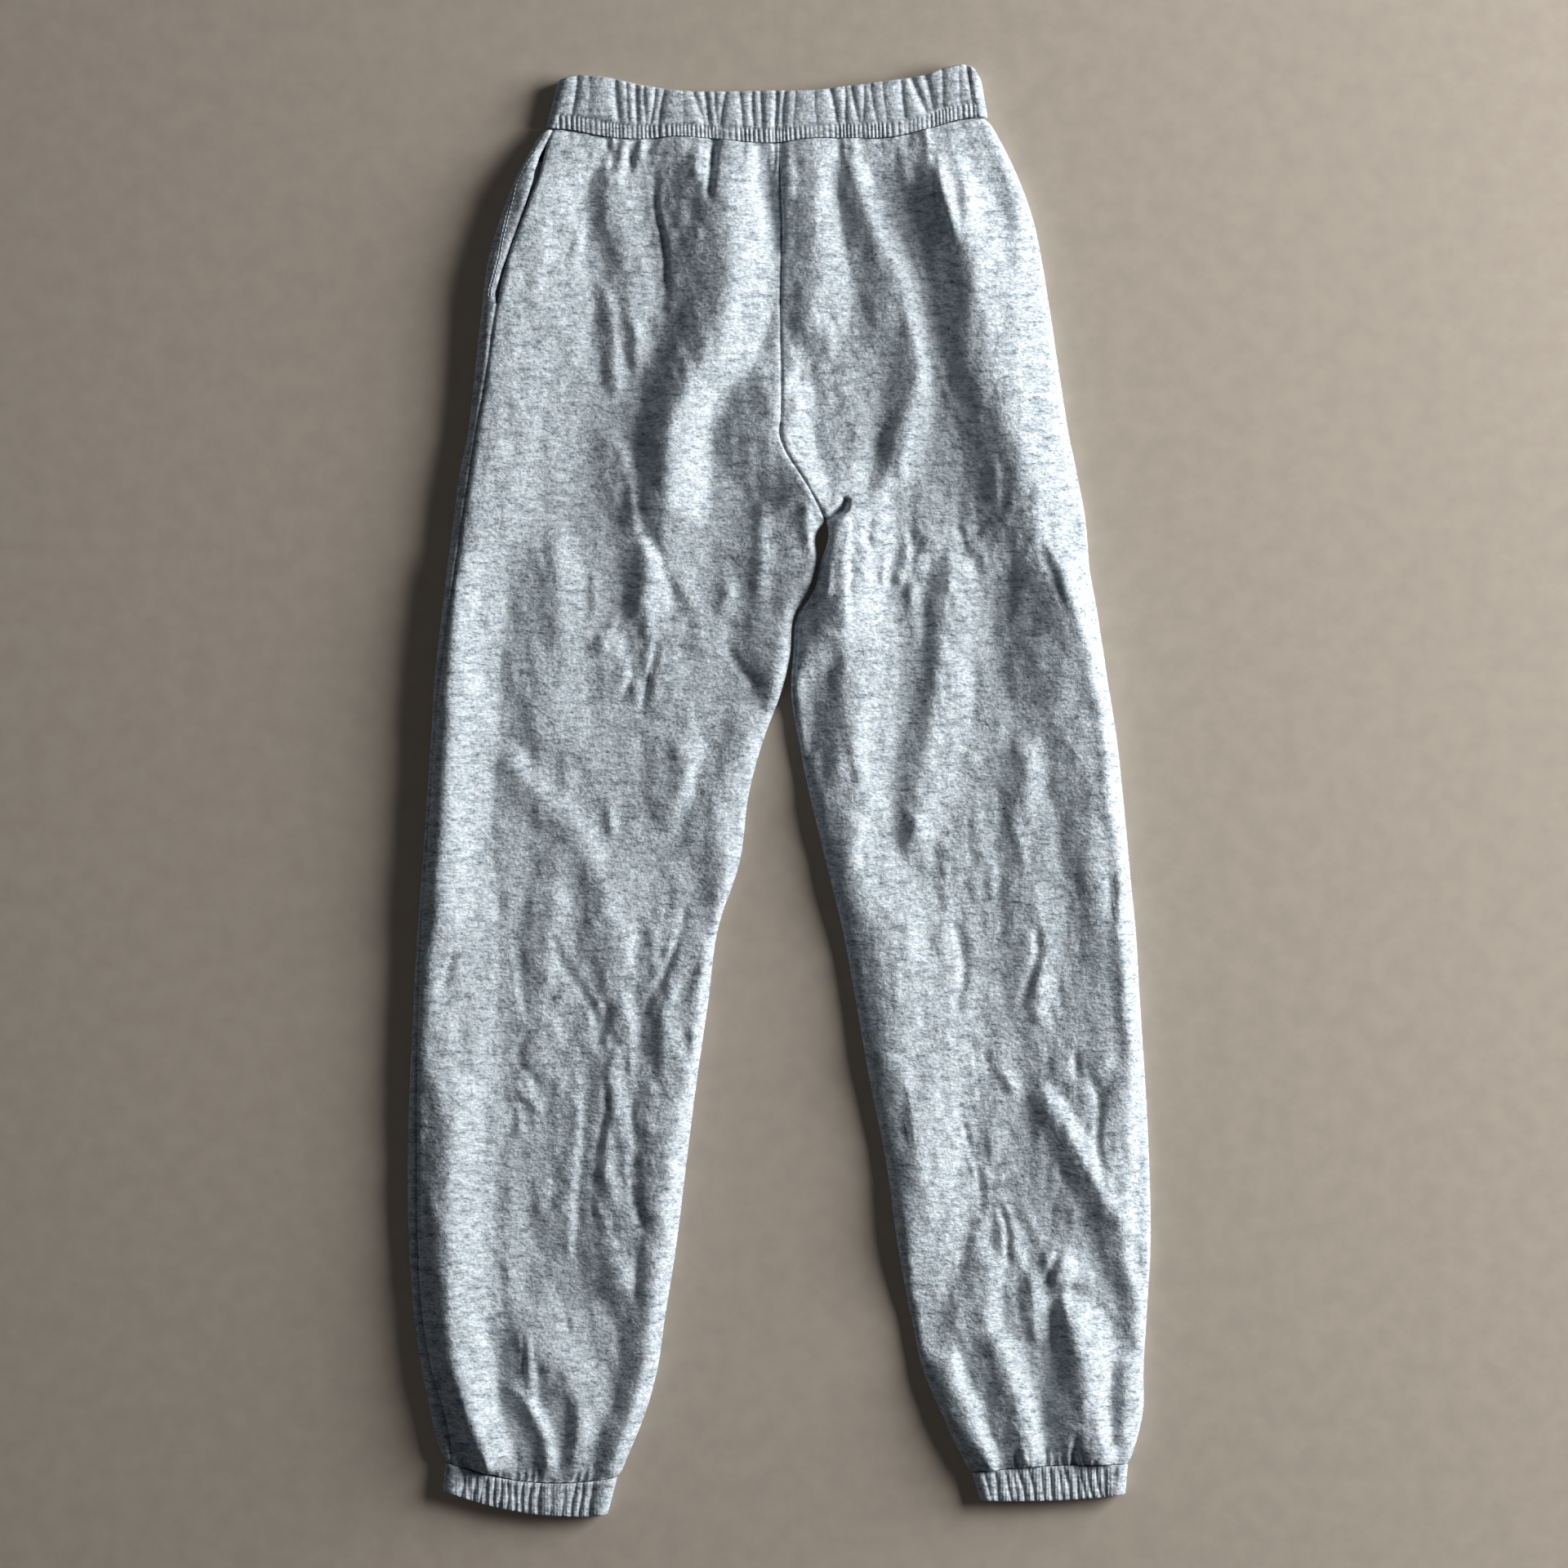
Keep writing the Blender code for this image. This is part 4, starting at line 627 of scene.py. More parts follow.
SHAPES = [Crease(CREASE_SCALE * height, fade, with_sides(points))
          for region in CREASES.values() for height, fade, points in region]

PUCKER_WIDTH = 1.6      # a pucker's sides, against its gather's half width
# What sets a band's puckers: length without depth, length for each mm of depth, the least share of
# that, lean to either side, how far they reach under the band, depth and fade.
WAIST_PUCKERS = (10, 10, 0.5, 0.12, 6, 0.85, 7)
CUFF_PUCKERS = (6, 8, 0.4, 0.1, 5, 0.9, 6)
MOST_PUCKER = 1.2
WAIST_FAN = 1100        # the waistband's puckers fan out from a point this far above it
CUFF_GATHER_HEIGHT = 22


def band_puckers():
    """Short troughs that run down from the waistband's gathers into the panels, and up from the
    cuffs' gathers."""
    random = np.random.RandomState(4)
    made = []
    shortest, per_depth, least, lean_by, under, deep, fade = WAIST_PUCKERS
    for _, foot_x, depth, half in BAND_GATHERS:
        length = shortest + per_depth * depth * random.uniform(least, MOST_PUCKER)
        lean = random.uniform(-lean_by, lean_by) + foot_x / WAIST_FAN
        share = (foot_x - BAND_LOWER_X[0]) / (BAND_LOWER_X[1] - BAND_LOWER_X[0])
        top = float(band_edge(share, 1)) + under
        sides = (PUCKER_WIDTH * half, PUCKER_WIDTH * half)
        line = [(foot_x, top, *sides), (foot_x + lean * length, top - length, *sides)]
        made.append(Crease(-deep * depth, fade, line))
    shortest, per_depth, least, lean_by, under, deep, fade = CUFF_PUCKERS
    for name, gathers in CUFF_GATHERS.items():
        left, right = CUFFS[name][0][0], CUFFS[name][1][0]
        for top_x, foot_x, depth, half in gathers:
            length = shortest + per_depth * depth * random.uniform(least, MOST_PUCKER)
            lean = (top_x - foot_x) / CUFF_GATHER_HEIGHT + random.uniform(-lean_by, lean_by)
            foot = float(cuff_edge(name, (top_x - left) / (right - left), True)[1]) - under
            sides = (PUCKER_WIDTH * half, PUCKER_WIDTH * half)
            line = [(top_x + lean * length, foot + length, *sides), (top_x, foot, *sides)]
            made.append(Crease(-deep * depth, fade, line))
    return made


SHAPES += band_puckers()


def upper_height(x, y):
    """Height of the upper face over the floor, away from the folded edges."""
    height = np.array(section("thick", y))
    off_x = sum(by * value_noise(x, WANDER_LONG * y, size, seed) for by, size, seed in WANDER_X)
    off_y = sum(by * value_noise(x, y, size, seed) for by, size, seed in WANDER_Y)
    for crease in SHAPES:
        crease.add(x + off_x, y + off_y, height)
    more = np.zeros(np.shape(x))
    for patch_x, patch_y, half_x, half_y, strength in PATCHES:
        more = more + strength * np.exp(-((x - patch_x) / half_x) ** 2 - ((y - patch_y) / half_y) ** 2)
    for size, stretch, rise, seed in CRUMPLES:
        patchy = PATCH_LEVEL + PATCH_SWING * value_noise(x, y, PATCH_SIZE * size, seed + 20)
        if size < FINE_CRUMPLE:
            patchy = patchy * (1 + more)
        slant = SLANT * value_noise(x, y, SLANT_SIZE, seed + 40) * y
        height += rise * patchy * value_noise(x + off_x + slant, y / stretch + off_y, size, seed)
    low, high = MIN_HEIGHT + SOFT_FLOOR, MAX_HEIGHT - SOFT_CEILING
    eased = MIN_HEIGHT + SOFT_FLOOR * np.exp(np.minimum((height - low) / SOFT_FLOOR, 0))
    height = np.where(height < low, eased, height)
    eased = MAX_HEIGHT - SOFT_CEILING * np.exp(np.minimum((high - height) / SOFT_CEILING, 0))
    return np.where(height > high, eased, height)


# ---------------------------------------------------------------- rings round one half
def row_bend(half, row, share, upper_side):
    """How far a row leaves its straight line so that it follows the waistband or the cuff.
    share runs across the half, from its outer edge (0) to its inner line (1)."""
    waist = ease((row - (WAIST_Y - WAIST_BLEND)) / WAIST_BLEND)
    cuff = ease(((CUFF_Y + CUFF_BLEND) - row) / CUFF_BLEND)
    middle = (CENTRE_SEAM[0][1] - BAND_LOWER_X[0]) / (BAND_LOWER_X[1] - BAND_LOWER_X[0])
    across = share * middle if half == "left" else 1 - share * (1 - middle)
    lower = band_foot(across, upper_side) - BAND_GAP - WAIST_Y
    cuff_share = share if half == "left" else 1 - share
    upper = cuff_edge("cuff_" + half, cuff_share, True)[1] + BAND_GAP - CUFF_Y
    return waist * lower + cuff * upper


def half_ring(half, row):
    """The outer face of one half along one row, as a dense line: over the top from the inner
    line to the outer edge, then back underneath; and where its marks lie along that line."""
    inner_y = row + float(row_bend(half, row, 1.0, True))
    outer_y = row + float(row_bend(half, row, 0.0, True))
    body = row > CROTCH_Y
    inner_x = float(section("centre" if body else half + "_inner", inner_y))
    outer_x = float(section(half + "_edge", outer_y))
    sign = 1.0 if half == "left" else -1.0
    reach = PAST_CENTRE if body else 0.0
    turn = 0.5 * (1 - np.cos(np.linspace(0, math.pi, ACROSS_SAMPLES)))
    width = abs(inner_x - outer_x)
    span = turn * (width + reach)
    x = outer_x + sign * span
    share = span / width
    y = row + row_bend(half, row, np.clip(share, 0, 1), True)
    y_below = row + row_bend(half, row, np.clip(share, 0, 1), False)
    height = upper_height(x, y)
    roll = ROLL_WIDTH * height
    tight = POCKET_ROLL + (1 - POCKET_ROLL) * ease((POCKET_FOOT_Y - row) / POCKET_ROLL_FADE)
    from_outer = np.clip(span / (roll * (tight if half == "left" else 1.0)), 0, 1)
    roll = roll * (CROTCH_ROLL + (1 - CROTCH_ROLL) * ease((CROTCH_Y - row) / CROTCH_ROLL_FADE))
    if body:
        from_inner = np.clip(np.hypot(x - CROTCH_X, y - CROTCH_Y) / roll, 0, 1)
    else:
        from_inner = np.clip((width - span) / roll, 0, 1)
    bulge = np.sqrt(np.clip(1 - (1 - from_outer) ** 2, 0, 1))
    bulge = bulge * np.sqrt(np.clip(1 - (1 - from_inner) ** 2, 0, 1))
    middle = ROLL_MIDDLE * height
    top = np.stack([x, y, middle + (height - middle) * bulge], 1)[::-1]
    bottom = np.stack([x, y_below, middle * (1 - bulge)], 1)
    seam_x = float(section("left_seam", outer_y))
    mark_in = inner_x - sign * INNER_REACH
    mark_out = outer_x + sign * OUTER_REACH
    if body:
        line = np.concatenate([top, bottom[1:]])
        along = path_length(line)
        shift = 0.0
        edge = along[len(top) - 1]
        start = np.interp(inner_x * sign, line[:len(top), 0][::-1] * sign,
                          along[:len(top)][::-1])
        end = np.interp(inner_x * sign, line[len(top):, 0] * sign, along[len(top):])
    else:
        once = np.concatenate([top, bottom[1:-1]])
        line = np.concatenate([once, once, once, once[:1]])
        along = path_length(line)
        shift = along[-1] / 3
        edge = shift + np.interp(len(top) - 1, np.arange(len(line)), along)
        under = float(section("inseam_" + half[0], inner_y))
        start = shift - under
        end = 2 * shift - under
    top_x = line[:len(top), 0][::-1] * sign
    top_along = along[:len(top)][::-1] + shift
    between = np.linspace(mark_in, mark_out, MIDDLE_SPANS + 1)
    across = np.interp(between * sign, top_x, top_along)
    if half == "left":
        rim = path_length(top[::-1])
        side = edge - float(np.interp(seam_x, top[::-1][:, 0], rim))
    else:
        side = edge + RIGHT_SEAM_UNDER
    return {"line": line, "along": along, "start": start, "side": side, "end": end, "across": across}


def panel_columns(half, side_of, row, ring):
    """Distances along the half's ring of one panel's columns."""
    start, side, end, across = ring["start"], ring["side"], ring["end"], ring["across"]
    if side_of == "back":
        first = start + SEAM_GAP / 2
        last = side - SEAM_GAP / 2
        inner = first + (across[0] - first) * np.array(INNER_SHARES)
        outer = across[-1] + (last - across[-1]) * np.array(OUTER_SHARES[half])
        return np.concatenate([inner, across[1:], outer])
    gape = float(np.interp(row, *np.array(POCKET_GAPE).T)) if half == "left" else 0.0
    first = side + SEAM_GAP / 2 + gape + np.array(EDGE_SPREAD)
    last = end - SEAM_GAP / 2 - np.array(FRONT_INNER)
    between = np.linspace(first[-1], last[0], FRONT_SPANS + 1)[1:-1]
    return np.concatenate([first, between, last])


def all_rows():
    above = np.arange(WAIST_Y, CROTCH_ROWS[0] + ROW_STEP / 2, -ROW_STEP)
    below = np.arange(CROTCH_ROWS[-1] - AFTER_CROTCH, CUFF_Y + BEFORE_CUFF, -ROW_STEP)
    return np.concatenate([WAIST_Y - NEAR_BAND, above[1:], CROTCH_ROWS, below, CUFF_Y + NEAR_BAND[::-1]])


ROWS = all_rows()
RINGS = {half: [half_ring(half, row) for row in ROWS] for half in ("left", "right")}


def grid_normals(points, half):
    """The direction out of a grid's face at each point, for a grid whose columns run round the
    half from its inner line and whose rows run down."""
    down = np.gradient(points, axis=0)
    along = np.gradient(points, axis=1)
    normal = np.cross(down, along) * (-1 if half == "left" else 1)
    return normal / np.maximum(np.linalg.norm(normal, axis=2), 1e-9)[:, :, None]


SEAM_DIP = 1.2          # how deep the cloth is drawn in at a seam
SEAM_DIP_WIDTH = 1.0
SEAM_WELT = 0.2         # the low welt of the seam's turnings beside it
SEAM_WELT_AWAY = 4.5
SEAM_WELT_WIDTH = 2.0
BAND_DIP = 1.5          # how deep the panels are drawn in where a band holds them
BAND_DIP_WIDTH = 2.6


def panel_grid(half, side_of):
    """The outer face of one panel as a grid of points, drawn in at its seams."""
    grid = []
    seam_distance = []
    for row, ring in zip(ROWS, RINGS[half]):
        columns = panel_columns(half, side_of, row, ring)
        line, along = ring["line"], ring["along"]
        grid.append(np.stack([np.interp(columns, along, line[:, k]) for k in range(3)], 1))
        seam_distance.append(np.minimum(columns - columns[0], columns[-1] - columns))
    grid = np.array(grid)
    normals = grid_normals(grid, half)
    away = np.array(seam_distance)
    draw = -SEAM_DIP * np.exp(-(away / SEAM_DIP_WIDTH) ** 2)
    draw += SEAM_WELT * np.exp(-((away - SEAM_WELT_AWAY) / SEAM_WELT_WIDTH) ** 2)
    ends = np.minimum(WAIST_Y - ROWS, ROWS - CUFF_Y)[:, None]
    draw = draw - BAND_DIP * np.exp(-(ends / BAND_DIP_WIDTH) ** 2) * np.ones_like(draw)
    grid = grid + normals * draw[:, :, None]
    grid[:, :, 2] = np.maximum(grid[:, :, 2], 0.0)
    return grid, normals


# ---------------------------------------------------------------- meshes
def add_piece(name, points, faces, material, node=None):
    mesh = bpy.data.meshes.new(name)
    mesh.from_pydata((np.asarray(points) * MM).tolist(), [], faces)
    mesh.validate()
    mesh.materials.append(material)
    mesh.shade_smooth()
    item = bpy.data.objects.new(name, mesh)
    bpy.context.scene.collection.objects.link(item)
    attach(item, "root")
    if node:
        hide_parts(node)
    return item


def shell_faces(rows, columns, flip):
    """Faces of a closed wall between two grids of points, the second stored after the first."""
    count = rows * columns
    index = np.arange(count).reshape(rows, columns)
    a, b = index[:-1, :-1].ravel(), index[:-1, 1:].ravel()
    d, e = index[1:, :-1].ravel(), index[1:, 1:].ravel()
    outer = np.stack([a, d, e, b], 1)
    inner = np.stack([a, b, e, d], 1) + count
    rim = np.concatenate([index[0, :], index[1:, -1], index[-1, -2::-1], index[-2:0:-1, 0]])
    after = np.roll(rim, -1)
    sides = np.stack([rim, after, after + count, rim + count], 1)
    faces = np.concatenate([outer, inner, sides])
    if flip:
        faces = faces[:, ::-1]
    return faces.tolist()


def leg_panel(half, side_of, material):
    grid, normals = panel_grid(half, side_of)
    inner = grid - FLEECE * normals
    points = np.concatenate([grid.reshape(-1, 3), inner.reshape(-1, 3)])
    faces = shell_faces(grid.shape[0], grid.shape[1], half == "left")
    name = side_of + "_" + half
    return add_piece(name + "_fleece", points, faces, material, name), grid


BAG_CLEARANCE = 0.5     # between the panels' inner faces and the bag
BAG_BELOW = 20          # how far the facing runs on below the slit, and above it
BAG_ABOVE = 2
BAG_COLUMNS = {"back": slice(-9, None), "front": slice(0, 7)}


def pocket_bag(material):
    """The bag's facing under the slit, carried just inside the two panels' walls."""
    chosen = (ROWS > POCKET_FOOT_Y - BAG_BELOW) & (ROWS < POCKET_TOP_Y + BAG_ABOVE)
    parts = []
    for side_of, cut in BAG_COLUMNS.items():
        grid, normals = panel_grid("left", side_of)
        parts.append((grid[chosen][:, cut], normals[chosen][:, cut]))
    points = np.concatenate([p for p, _ in parts], 1)
    out = np.concatenate([n for _, n in parts], 1)
    outer = points - (FLEECE + BAG_CLEARANCE) * out
    inner = points - (FLEECE + BAG_CLEARANCE + BAG_CLOTH) * out
    both = np.concatenate([outer.reshape(-1, 3), inner.reshape(-1, 3)])
    return add_piece("pocket_bag_jersey", both, shell_faces(*outer.shape[:2], True), material,
                     "pocket_bag_left")


def ring_faces(columns, loop):
    c, k = np.meshgrid(np.arange(columns), np.arange(loop), indexing="ij")
    after = (k + 1) % loop
    following = (c + 1) % columns
    return np.stack([c * loop + k, c * loop + after, following * loop + after,
                     following * loop + k], -1).reshape(-1, 4).tolist()


GATHER_TIP = 0.4        # how rounded a gather's groove is at its bottom, in mm
GATHER_WANDER = 0.6     # how far a groove wanders to either side
# A loop round a band's wall, after its outer face: share of the band's height, and how deep in the
# wall (0 is its outer face, 1 its inner face).
RIM_LOOP = [(0.955, 0.03), (0.98, 0.12), (0.995, 0.3), (1.0, 0.5), (0.995, 0.7), (0.98, 0.88),
            (0.94, 1.0), (0.7, 1.0), (0.4, 1.0), (0.1, 1.0), (0.0, 1.0)]
END_ANGLES = np.radians(np.linspace(82, -82, 13))   # round a flattened band's two ends


def gather_depth(x, share, gathers):
    """Depth of the gathers' narrow grooves at points across a band, with the cloth puffing out
    between them; share is 0 at the foot."""
    depth = np.zeros(np.broadcast(x, share).shape)
    for top_x, foot_x, deep, half in gathers:
        middle = foot_x + (top_x - foot_x) * share + GATHER_WANDER * np.sin(5 * share + foot_x)
        out = np.hypot(x - middle, GATHER_TIP) - GATHER_TIP
        depth = depth + deep * np.exp(-out / half)
    return DEEPEST_GATHER * np.tanh(depth / DEEPEST_GATHER)


def even_gathers(left, right, count, seed):
    """Gathers of the hidden side, evenly spaced but for a random shift, lean, depth and width."""
    random = np.random.RandomState(seed)
    made = []
    for k in range(count):
        x = left + (right - left) * (k + 0.5 + random.uniform(-0.3, 0.3)) / count
        lean = random.uniform(-2.5, 2.5)
        made.append((x + lean, x, random.uniform(0.6, 2.0), random.uniform(1.5, 2.4)))
    return made


def gathered_band(name, ends, edges, thick, envelope, ripple, wall, outer_shares, gathers, hidden,
                  steps, material):
    """A flattened, gathered ring. ends are the x of its left and right end, first where its shares
    start and then where they end, and edges(share, upper_side) gives the y of both edges there.
    thick(t) is its full thickness at share t of its height, envelope(t) the share of the gathers
    that shows, and ripple(x, t) the depth of the fine ripples."""
    t, depth = np.array([(share, 0.0) for share in outer_shares] + RIM_LOOP).T
    left, right = (start + (end - start) * t for start, end in zip(*ends))
    full = thick(t)
    half = full / 2
    roll = ROLL_WIDTH * full
    inset = wall * depth
    flat0, flat1 = left + roll, right - roll
    over, under = (np.linspace(0, 1, int((right[0] - left[0]) / step)) for step in steps)
    order = [("top", s) for s in over[::-1]] + [("left", a) for a in END_ANGLES]
    order += [("bottom", s) for s in under] + [("right", a) for a in END_ANGLES[::-1]]
    middle = thick(np.array([0.5]))[0] / 2
    sections = []
    for side, at in order:
        if side in ("top", "bottom"):
            x = flat0 + (flat1 - flat0) * at
            groove = gather_depth(x, t, gathers if side == "top" else hidden) * envelope(t)
            groove = groove + ripple(x, t)
            z = half - inset - groove * (1 - depth)
            if side == "bottom":
                z = -z
        else:
            reach = (roll - inset) * math.cos(at)
            x = flat0 - reach if side == "left" else flat1 + reach
            z = (half - inset) * math.sin(at)
        first, last = edges(np.clip((x - left) / (right - left), 0, 1), side != "bottom")
        sections.append(np.stack([x, first + (last - first) * t, z + middle], 1))
    points = np.array(sections)
    faces = ring_faces(*points.shape[:2])
    return add_piece(name + "_cloth", points.reshape(-1, 3), faces, material, name)


# The waistband's thickness: at its foot, what it puffs out by above the strip, and how far its two
# lines of stitching draw it in. STITCH_WIDTH, STITCH_AT and the shares below are of its height.
BAND_THICK = 11.8
BAND_PUFF = 3.0
PUFF_LOSS = 0.25        # the share of the puff that is lost towards the upper edge
PUFF_TOP = 0.72         # above this share of the height
STITCH_DIP = 1.0
STITCH_WIDTH = 0.03
STITCH_AT = (BAND_STRIP, 0.03)
STRIP_FADE = 0.12       # the gathers and the puff rise in full over this
STRIP_GATHERS = 0.3     # the share of them that shows on the strip
# Slow waves that make the strip's ripples uneven: how much, and how long.
RIPPLE_WAVES = [(1.5, 9.0), (0.8, 3.7)]
RIPPLE_LEAN = 1.6
BAND_SHARES = [0.0, 0.03, 0.06, 0.1, 0.14, 0.18, 0.21, 0.24, 0.27, 0.3, 0.34, 0.4, 0.47, 0.55, 0.63,
               0.71, 0.78, 0.84, 0.89, 0.93]
BAND_STEPS = (0.46, 1.4)    # spacing of the mesh on the upper and the hidden side
BAND_GATHER_WIDTH = 0.85    # the gathers as they stand, against the half widths above


def waistband(material):
    def edges(share, upper_side):
        return band_foot(share, upper_side), band_edge(share, 2)

    def thick(t):
        puff = ease((t - BAND_STRIP + 0.03) / STRIP_FADE)
        puff = puff * (1 - PUFF_LOSS * ease((t - PUFF_TOP) / (1 - PUFF_TOP)))
        stitch = sum(np.exp(-((t - at) / STITCH_WIDTH) ** 2) for at in STITCH_AT)
        return BAND_THICK + BAND_PUFF * puff - STITCH_DIP * stitch

    def envelope(t):
        return STRIP_GATHERS + (1 - STRIP_GATHERS) * ease((t - BAND_STRIP) / STRIP_FADE)

    def ripple(x, t):
        strip = 1 - ease((t - BAND_STRIP + 0.02) / 0.06)
        phase = math.pi * x / BAND_RIPPLE
        for much, wave in RIPPLE_WAVES:
            phase = phase + much * np.sin(x / wave)
        depth = 0.75 + 0.5 * np.sin(x / 7.0 + 1.0) * np.sin(x / 19.0)
        return depth * strip * (1 - np.abs(np.sin(phase + RIPPLE_LEAN * t)))

    gathers = [(top, low, GATHERS_DEEPER * deep, BAND_GATHER_WIDTH * half)
               for top, low, deep, half in BAND_GATHERS]
    hidden = even_gathers(BAND_LOWER_X[0] + 6, BAND_LOWER_X[1] - 6, BAND_HIDDEN_GATHERS, 21)
    return gathered_band("waistband", (BAND_LOWER_X, BAND_UPPER_X), edges, thick, envelope, ripple,
                         BAND_WALL, BAND_SHARES, gathers, hidden, BAND_STEPS, material)


CUFF_SHARES = [0.0, 0.04, 0.08, 0.13, 0.2, 0.3, 0.4, 0.5, 0.6, 0.7, 0.78, 0.86, 0.91]
CUFF_STEPS = (0.4, 0.9)
CUFF_SEAM_DIP = 1.6     # how much thinner a cuff is at its seam, and towards its foot
CUFF_FOOT_DIP = 0.6
CUFF_GATHERS_DEEPER = 1.3   # the cuffs' gathers as they stand, against the depths and widths above
CUFF_GATHER_WIDTH = 0.9
CUFF_RIPPLE = 2.3       # mean spacing of the cuffs' ripples
CUFF_RIPPLE_RISE = 0.12


def cuff(name, material):
    def edges(share, upper_side):
        return cuff_edge(name, share, True)[1], cuff_edge(name, share, False)[1]

    def thick(t):
        return CUFF_THICK - CUFF_SEAM_DIP * np.exp(-(t / 0.07) ** 2) - CUFF_FOOT_DIP * ease((t - 0.8) / 0.2)

    def envelope(t):
        return 0.5 + 0.5 * ease(t / 0.25)

    def ripple(x, t):
        phase = 2 * math.pi * x / CUFF_RIPPLE + 1.2 * np.sin(x / 5.0)
        return CUFF_RIPPLE_RISE * (1 + np.cos(phase)) * np.ones_like(t)

    upper_left, upper_right, lower_left, lower_right = CUFFS[name][:4]
    ends = ((upper_left[0], upper_right[0]), (lower_left[0], lower_right[0]))
    # A cuff's shares run down from its upper edge, so its gathers' upper ends come first.
    gathers = [(low, top, CUFF_GATHERS_DEEPER * deep, CUFF_GATHER_WIDTH * half)
               for top, low, deep, half in CUFF_GATHERS[name]]
    hidden = even_gathers(ends[0][0] + 5, ends[0][1] - 5, CUFF_HIDDEN_GATHERS, 31)
    return gathered_band(name, ends, edges, thick, envelope, ripple, CUFF_WALL, CUFF_SHARES, gathers,
                         hidden, CUFF_STEPS, material)


# ---------------------------------------------------------------- threads
STITCH = 2.6            # length of a stitch, gap to the next and radius of its thread
STITCH_GAP = 0.7
THREAD_RADIUS = 0.34
THREAD_LIFT = 0.12
BEAD_AT = np.array([0.0, 0.18, 0.5, 0.82, 1.0])             # shares along a stitch
BEAD_SIZE = THREAD_RADIUS * np.array([0.35, 0.85, 1.0, 0.85, 0.35])
BEAD_SIDES = 6


def stitch_row(path, normals, points, faces):
    """Adds a row of separate stitches along a path: each a short six-sided bead of thread."""
    along = path_length(path)
    at = STITCH_GAP
    while at + STITCH < along[-1]:
        ends = at + BEAD_AT * STITCH
        centre = np.stack([np.interp(ends, along, path[:, k]) for k in range(3)], 1)
        up = np.stack([np.interp(ends, along, normals[:, k]) for k in range(3)], 1)
        up /= np.linalg.norm(up, axis=1)[:, None]
        run = centre[-1] - centre[0]
        run /= max(np.linalg.norm(run), 1e-9)
        across = np.cross(run, up)
        base = len(points)
        for c, u, a, r in zip(centre, up, across, BEAD_SIZE):
            for k in range(BEAD_SIDES):
                turn = 2 * math.pi * k / BEAD_SIDES
                points.append(c + r * (math.cos(turn) * a + math.sin(turn) * u))
        last = len(points) - BEAD_SIDES
        for low in range(base, last, BEAD_SIDES):
            high = low + BEAD_SIDES
            for m in range(BEAD_SIDES):
                n = (m + 1) % BEAD_SIDES
                faces.append((low + m, high + m, high + n, low + n))
        faces.append(tuple(range(base, base + BEAD_SIDES)))
        faces.append(tuple(range(last + BEAD_SIDES - 1, last - 1, -1)))
        at += STITCH + STITCH_GAP


# ---------------------------------------------------------------- materials
PALE = (0.78, 0.845, 0.90)
GREY = (0.46, 0.525, 0.59)
DARK = (0.15, 0.18, 0.21)
STREAK = (300.0, 850.0, 300.0)  # how fine the melange's streaks are along each axis, per metre
BROAD_STREAK = 0.29             # and the broader ones, against those
BROAD_SHARE = 0.44
# The fleece's nap and lumps: scale along each axis, roughness of the noise, distance, strength.
FLEECE_BUMPS = [
    ((1500.0, 2300.0, 1500.0), 0.6, 0.0006, 0.5),
    ((330.0, 420.0, 330.0), 0.5, 0.0012, 0.7),
]


def set_inputs(node, values):
    for name, value in values.items():
        node.inputs[name].default_value = value


def new_material(name, roughness):
    material = bpy.data.materials.new(name)
    material.use_nodes = True
    shader = material.node_tree.nodes["Principled BSDF"]
    set_inputs(shader, {"Roughness": roughness, "Specular IOR Level": 0.15})
    return material, material.node_tree, shader


def noise(tree, scale, detail, roughness):
    """Noise in the object's coordinates, finer along an axis whose scale is larger."""
    coordinates = tree.nodes.new("ShaderNodeTexCoord")
    mapping = tree.nodes.new("ShaderNodeMapping")
    node = tree.nodes.new("ShaderNodeTexNoise")
    set_inputs(mapping, {"Scale": scale})
    set_inputs(node, {"Scale": 1.0, "Detail": detail, "Roughness": roughness})
    tree.links.new(coordinates.outputs["Object"], mapping.inputs["Vector"])
    tree.links.new(mapping.outputs["Vector"], node.inputs["Vector"])
    return node.outputs["Fac"]


def ramp(tree, factor, stops):
    node = tree.nodes.new("ShaderNodeValToRGB")
    tree.links.new(factor, node.inputs["Fac"])
    elements = node.color_ramp.elements
    while len(elements) < len(stops):
        elements.new(0.5)
    for element, (position, colour) in zip(elements, stops):
        element.position = position
        element.color = (*colour, 1.0)
    return node.outputs["Color"]


